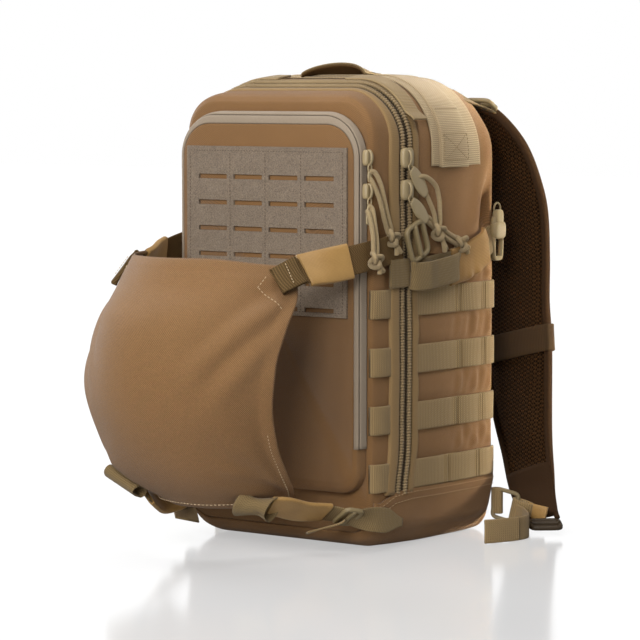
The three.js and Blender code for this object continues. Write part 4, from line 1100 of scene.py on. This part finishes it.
def inflate(piece, voxel, pressure, cap):
    """Foam pressing its cover out: an even mesh is blown up as cloth for twenty frames without gravity. Each
    point keeps only its way straight out, from nothing to the cap, because the foam holds the cover's
    outline."""
    bpy.context.view_layer.objects.active = piece
    piece.select_set(True)
    piece.data.remesh_voxel_size = voxel * MM
    bpy.ops.object.voxel_remesh()
    mesh = piece.data
    before = np.empty(len(mesh.vertices) * 3)
    mesh.vertices.foreach_get("co", before)
    straight_out = np.empty_like(before)
    mesh.vertex_normals.foreach_get("vector", straight_out)
    straight_out = straight_out.reshape(-1, 3)
    cover = piece.modifiers.new("cover", "CLOTH")
    cover.settings.use_pressure = True
    cover.settings.uniform_pressure_force = pressure
    cover.settings.effector_weights.gravity = 0.0
    cover.settings.quality = 5
    cover.point_cache.frame_start, cover.point_cache.frame_end = 1, 20
    for moment in range(1, 21):
        scene.frame_set(moment)
    swollen = piece.evaluated_get(bpy.context.evaluated_depsgraph_get()).data
    after = np.empty_like(before)
    swollen.vertices.foreach_get("co", after)
    piece.modifiers.remove(cover)
    scene.frame_set(1)
    rise = ((after - before).reshape(-1, 3) * straight_out).sum(axis=1, keepdims=True)
    move = np.clip(rise, 0, cap * MM) * straight_out
    mesh.vertices.foreach_set("co", before + move.ravel())
    mesh.polygons.foreach_set("use_smooth", np.ones(len(mesh.polygons), bool))
    mesh.update()
    piece.select_set(False)


def rounded(piece):
    """One level of subdivision on the finished piece."""
    step = piece.modifiers.new("rounded", "SUBSURF")
    step.levels = step.render_levels = 1


dark_mesh = finish("dark_mesh", (22, 12, 5), (78, 53, 30), spacer, 0.7, sheen=0.0, share=0.7, mapped=False,
                   gloss=0.05)
pad_oval = oval(1.0, 1.0, 32, 3.2)
pad_line = smooth_line(PAD, 120)
tip_start = np.argmax(pad_line[:, 2] < TIP_HEIGHT)
foam = pad_line[:tip_start + 4]
pad_grid = sweep(foam[:, :3], (1, 0, 0), tapered(pad_oval, foam[:, 3] - 1.0, foam[:, 4] - 1.5))
for pad in pair("shoulder_pad", [pad_grid], dark_mesh, ["shoulder_strap"]):
    inflate(pad, 5.0, 4.0, 5.0)
    rounded(pad)
pad_ahead = unit(np.gradient(pad_line[:, :3], axis=0))
pad_side = unit(np.array([1.0, 0, 0]) - pad_ahead[:, :1] * pad_ahead)
pad_face = np.cross(pad_side, pad_ahead)
edge_binding = matt_webbing("edge_binding", (36, 23, 12), (66, 45, 26), ribs(1.2, 3.0, 0.3), 0.1, 0.5)
bound = tapered(oval(1.0, 1.0, 12, 2.5), 5.0, pad_line[:, 4] + 0.5)
edge_reach = (pad_line[:, 3:4] / 2 - 1.0) * pad_side
binding = [sweep(pad_line[:, :3] + sign * edge_reach, pad_side, bound) for sign in (1, -1)]
pair("pad_binding", binding, edge_binding)
tip = pad_line[tip_start:TIP_END]
tip_thick = tip[:, 4] + 9.6 - 7.0 * ease(np.linspace(0, 1, len(tip)), 0.0, 0.4)
tip_grid = sweep(tip[:, :3], (1, 0, 0), tapered(pad_oval, tip[:, 3] + 2.4, tip_thick))
pair("pad_tip", [tip_grid], edge_binding)
chain = pad_line[CHAIN]
chain_turn = np.pi * (np.linspace(0, CHAIN_LOOPS, len(chain)) % 1)
chain_puff = CHAIN_PUFF * np.sqrt(np.maximum(np.sin(chain_turn), 0))[:, None]
chain_line = chain[:, :3] + pad_face[CHAIN] * (chain[:, 4:5] / 2 + 1.6 + chain_puff)
pair("daisy_chain", [sweep(chain_line, pad_side[CHAIN], webbing_shape)], tail_webbing)
keeper_at, keeper_wide, keeper_thick = pad_line[KEEPER, :3], *pad_line[KEEPER, 3:]
band = ring_path(keeper_at, pad_side[KEEPER] * (keeper_wide / 2 + 2.2),
                 pad_face[KEEPER] * (keeper_thick / 2 + 5.8), 73, 0.55)
band[:, 2] += KEEPER_SLANT * (band[:, 0] - keeper_at[0])
shade_webbing = matt_webbing("shade_webbing", (46, 32, 19), (82, 62, 40), ribs(1.6, 2.2, 0.4), 0.15, 0.5)
pair("keeper_webbing", [sweep(band, pad_ahead[KEEPER], flat(25))], shade_webbing,
     ["keeper_band"])
tail_shape = flat(21.4)
pair("lifter_webbing", [ribbon(LIFTER, tail_shape)], tail_webbing, ["load_lifter"])
pair("lower_tail", [ribbon(LOWER_WEBBING, tail_shape, count=200)], heavy_webbing,
     ["lower_webbing"])
seam_tube = ring_path((108, 99, 26), (5, 0, 0), (0, 3.4, 0))
ring_fold = ring_path((133, 102, 17.5), (9.5, 1.5, -2.6), (0, 4, 0))
ring_grids = [sweep(seam_tube, (0, 0, 1), flat(24)), sweep(ring_fold, (0.25, 0, 1), flat(21, 2.0))]
pair("ring_webbing", ring_grids, heavy_webbing)
pair("strap_ring", [place(grid, *STRAP_RING) for grid in moulded_frame(30, 25, 4.0, 1, 3.6)], tan_plastic)
pair("golden_tab", [ribbon(GOLDEN_TAB, flat(19, 2.4), count=24)], golden_vinyl)


# Back panel. A foam pad under dark spacer mesh over most of the back wall, sewn round its edge. Two upright
# channels and a cross channel at each side are pressed into it.
BACK_HALF, BACK_LOW, BACK_HIGH, BACK_CORNER, BACK_FROM, BACK_THICK = 88.0, 42.0, 368.0, 34.0, 102.6, 9.0
CHANNEL_OUT, CHANNEL_UP, CHANNEL_WIDTH = 27.0, 60.0, 7.0
middle_z, half_z = (BACK_HIGH + BACK_LOW) / 2, (BACK_HIGH - BACK_LOW) / 2 - 1
up = np.sin(np.linspace(-np.pi / 2, np.pi / 2, 110))[:, None]
over = np.sin(np.linspace(-np.pi / 2, np.pi / 2, 90))[None]
corner = np.maximum(abs(up) * half_z - half_z + BACK_CORNER, 0)
back_x = (BACK_HALF - 1 - BACK_CORNER + np.sqrt(np.maximum(BACK_CORNER**2 - corner**2, 4.0))) * over
back_z = middle_z + half_z * up + 0 * over
puffed = np.sqrt(np.maximum((1 - abs(up)**14) * (1 - abs(over)**10), 0))
cross_channel = bell(up * half_z, CHANNEL_UP, CHANNEL_WIDTH) * (abs(back_x) > CHANNEL_OUT)
channels = np.minimum(bell(abs(back_x), CHANNEL_OUT, CHANNEL_WIDTH) + cross_channel, 1)
outer_y = BACK_FROM + 1.2 + (BACK_THICK - 2.2) * puffed * (1 - 0.7 * channels)
outer = np.stack([back_x, outer_y, back_z], axis=-1)
inner = np.stack([back_x, 0 * outer_y + BACK_FROM + 0.4, back_z], axis=-1)
back_grid = np.concatenate([outer, inner[:, ::-1]], axis=1)
back_pad = lay("back_pad", [back_grid], dark_mesh, ["back_panel"])
inflate(back_pad, 3.6, 2.0, 1.2)
rounded(back_pad)
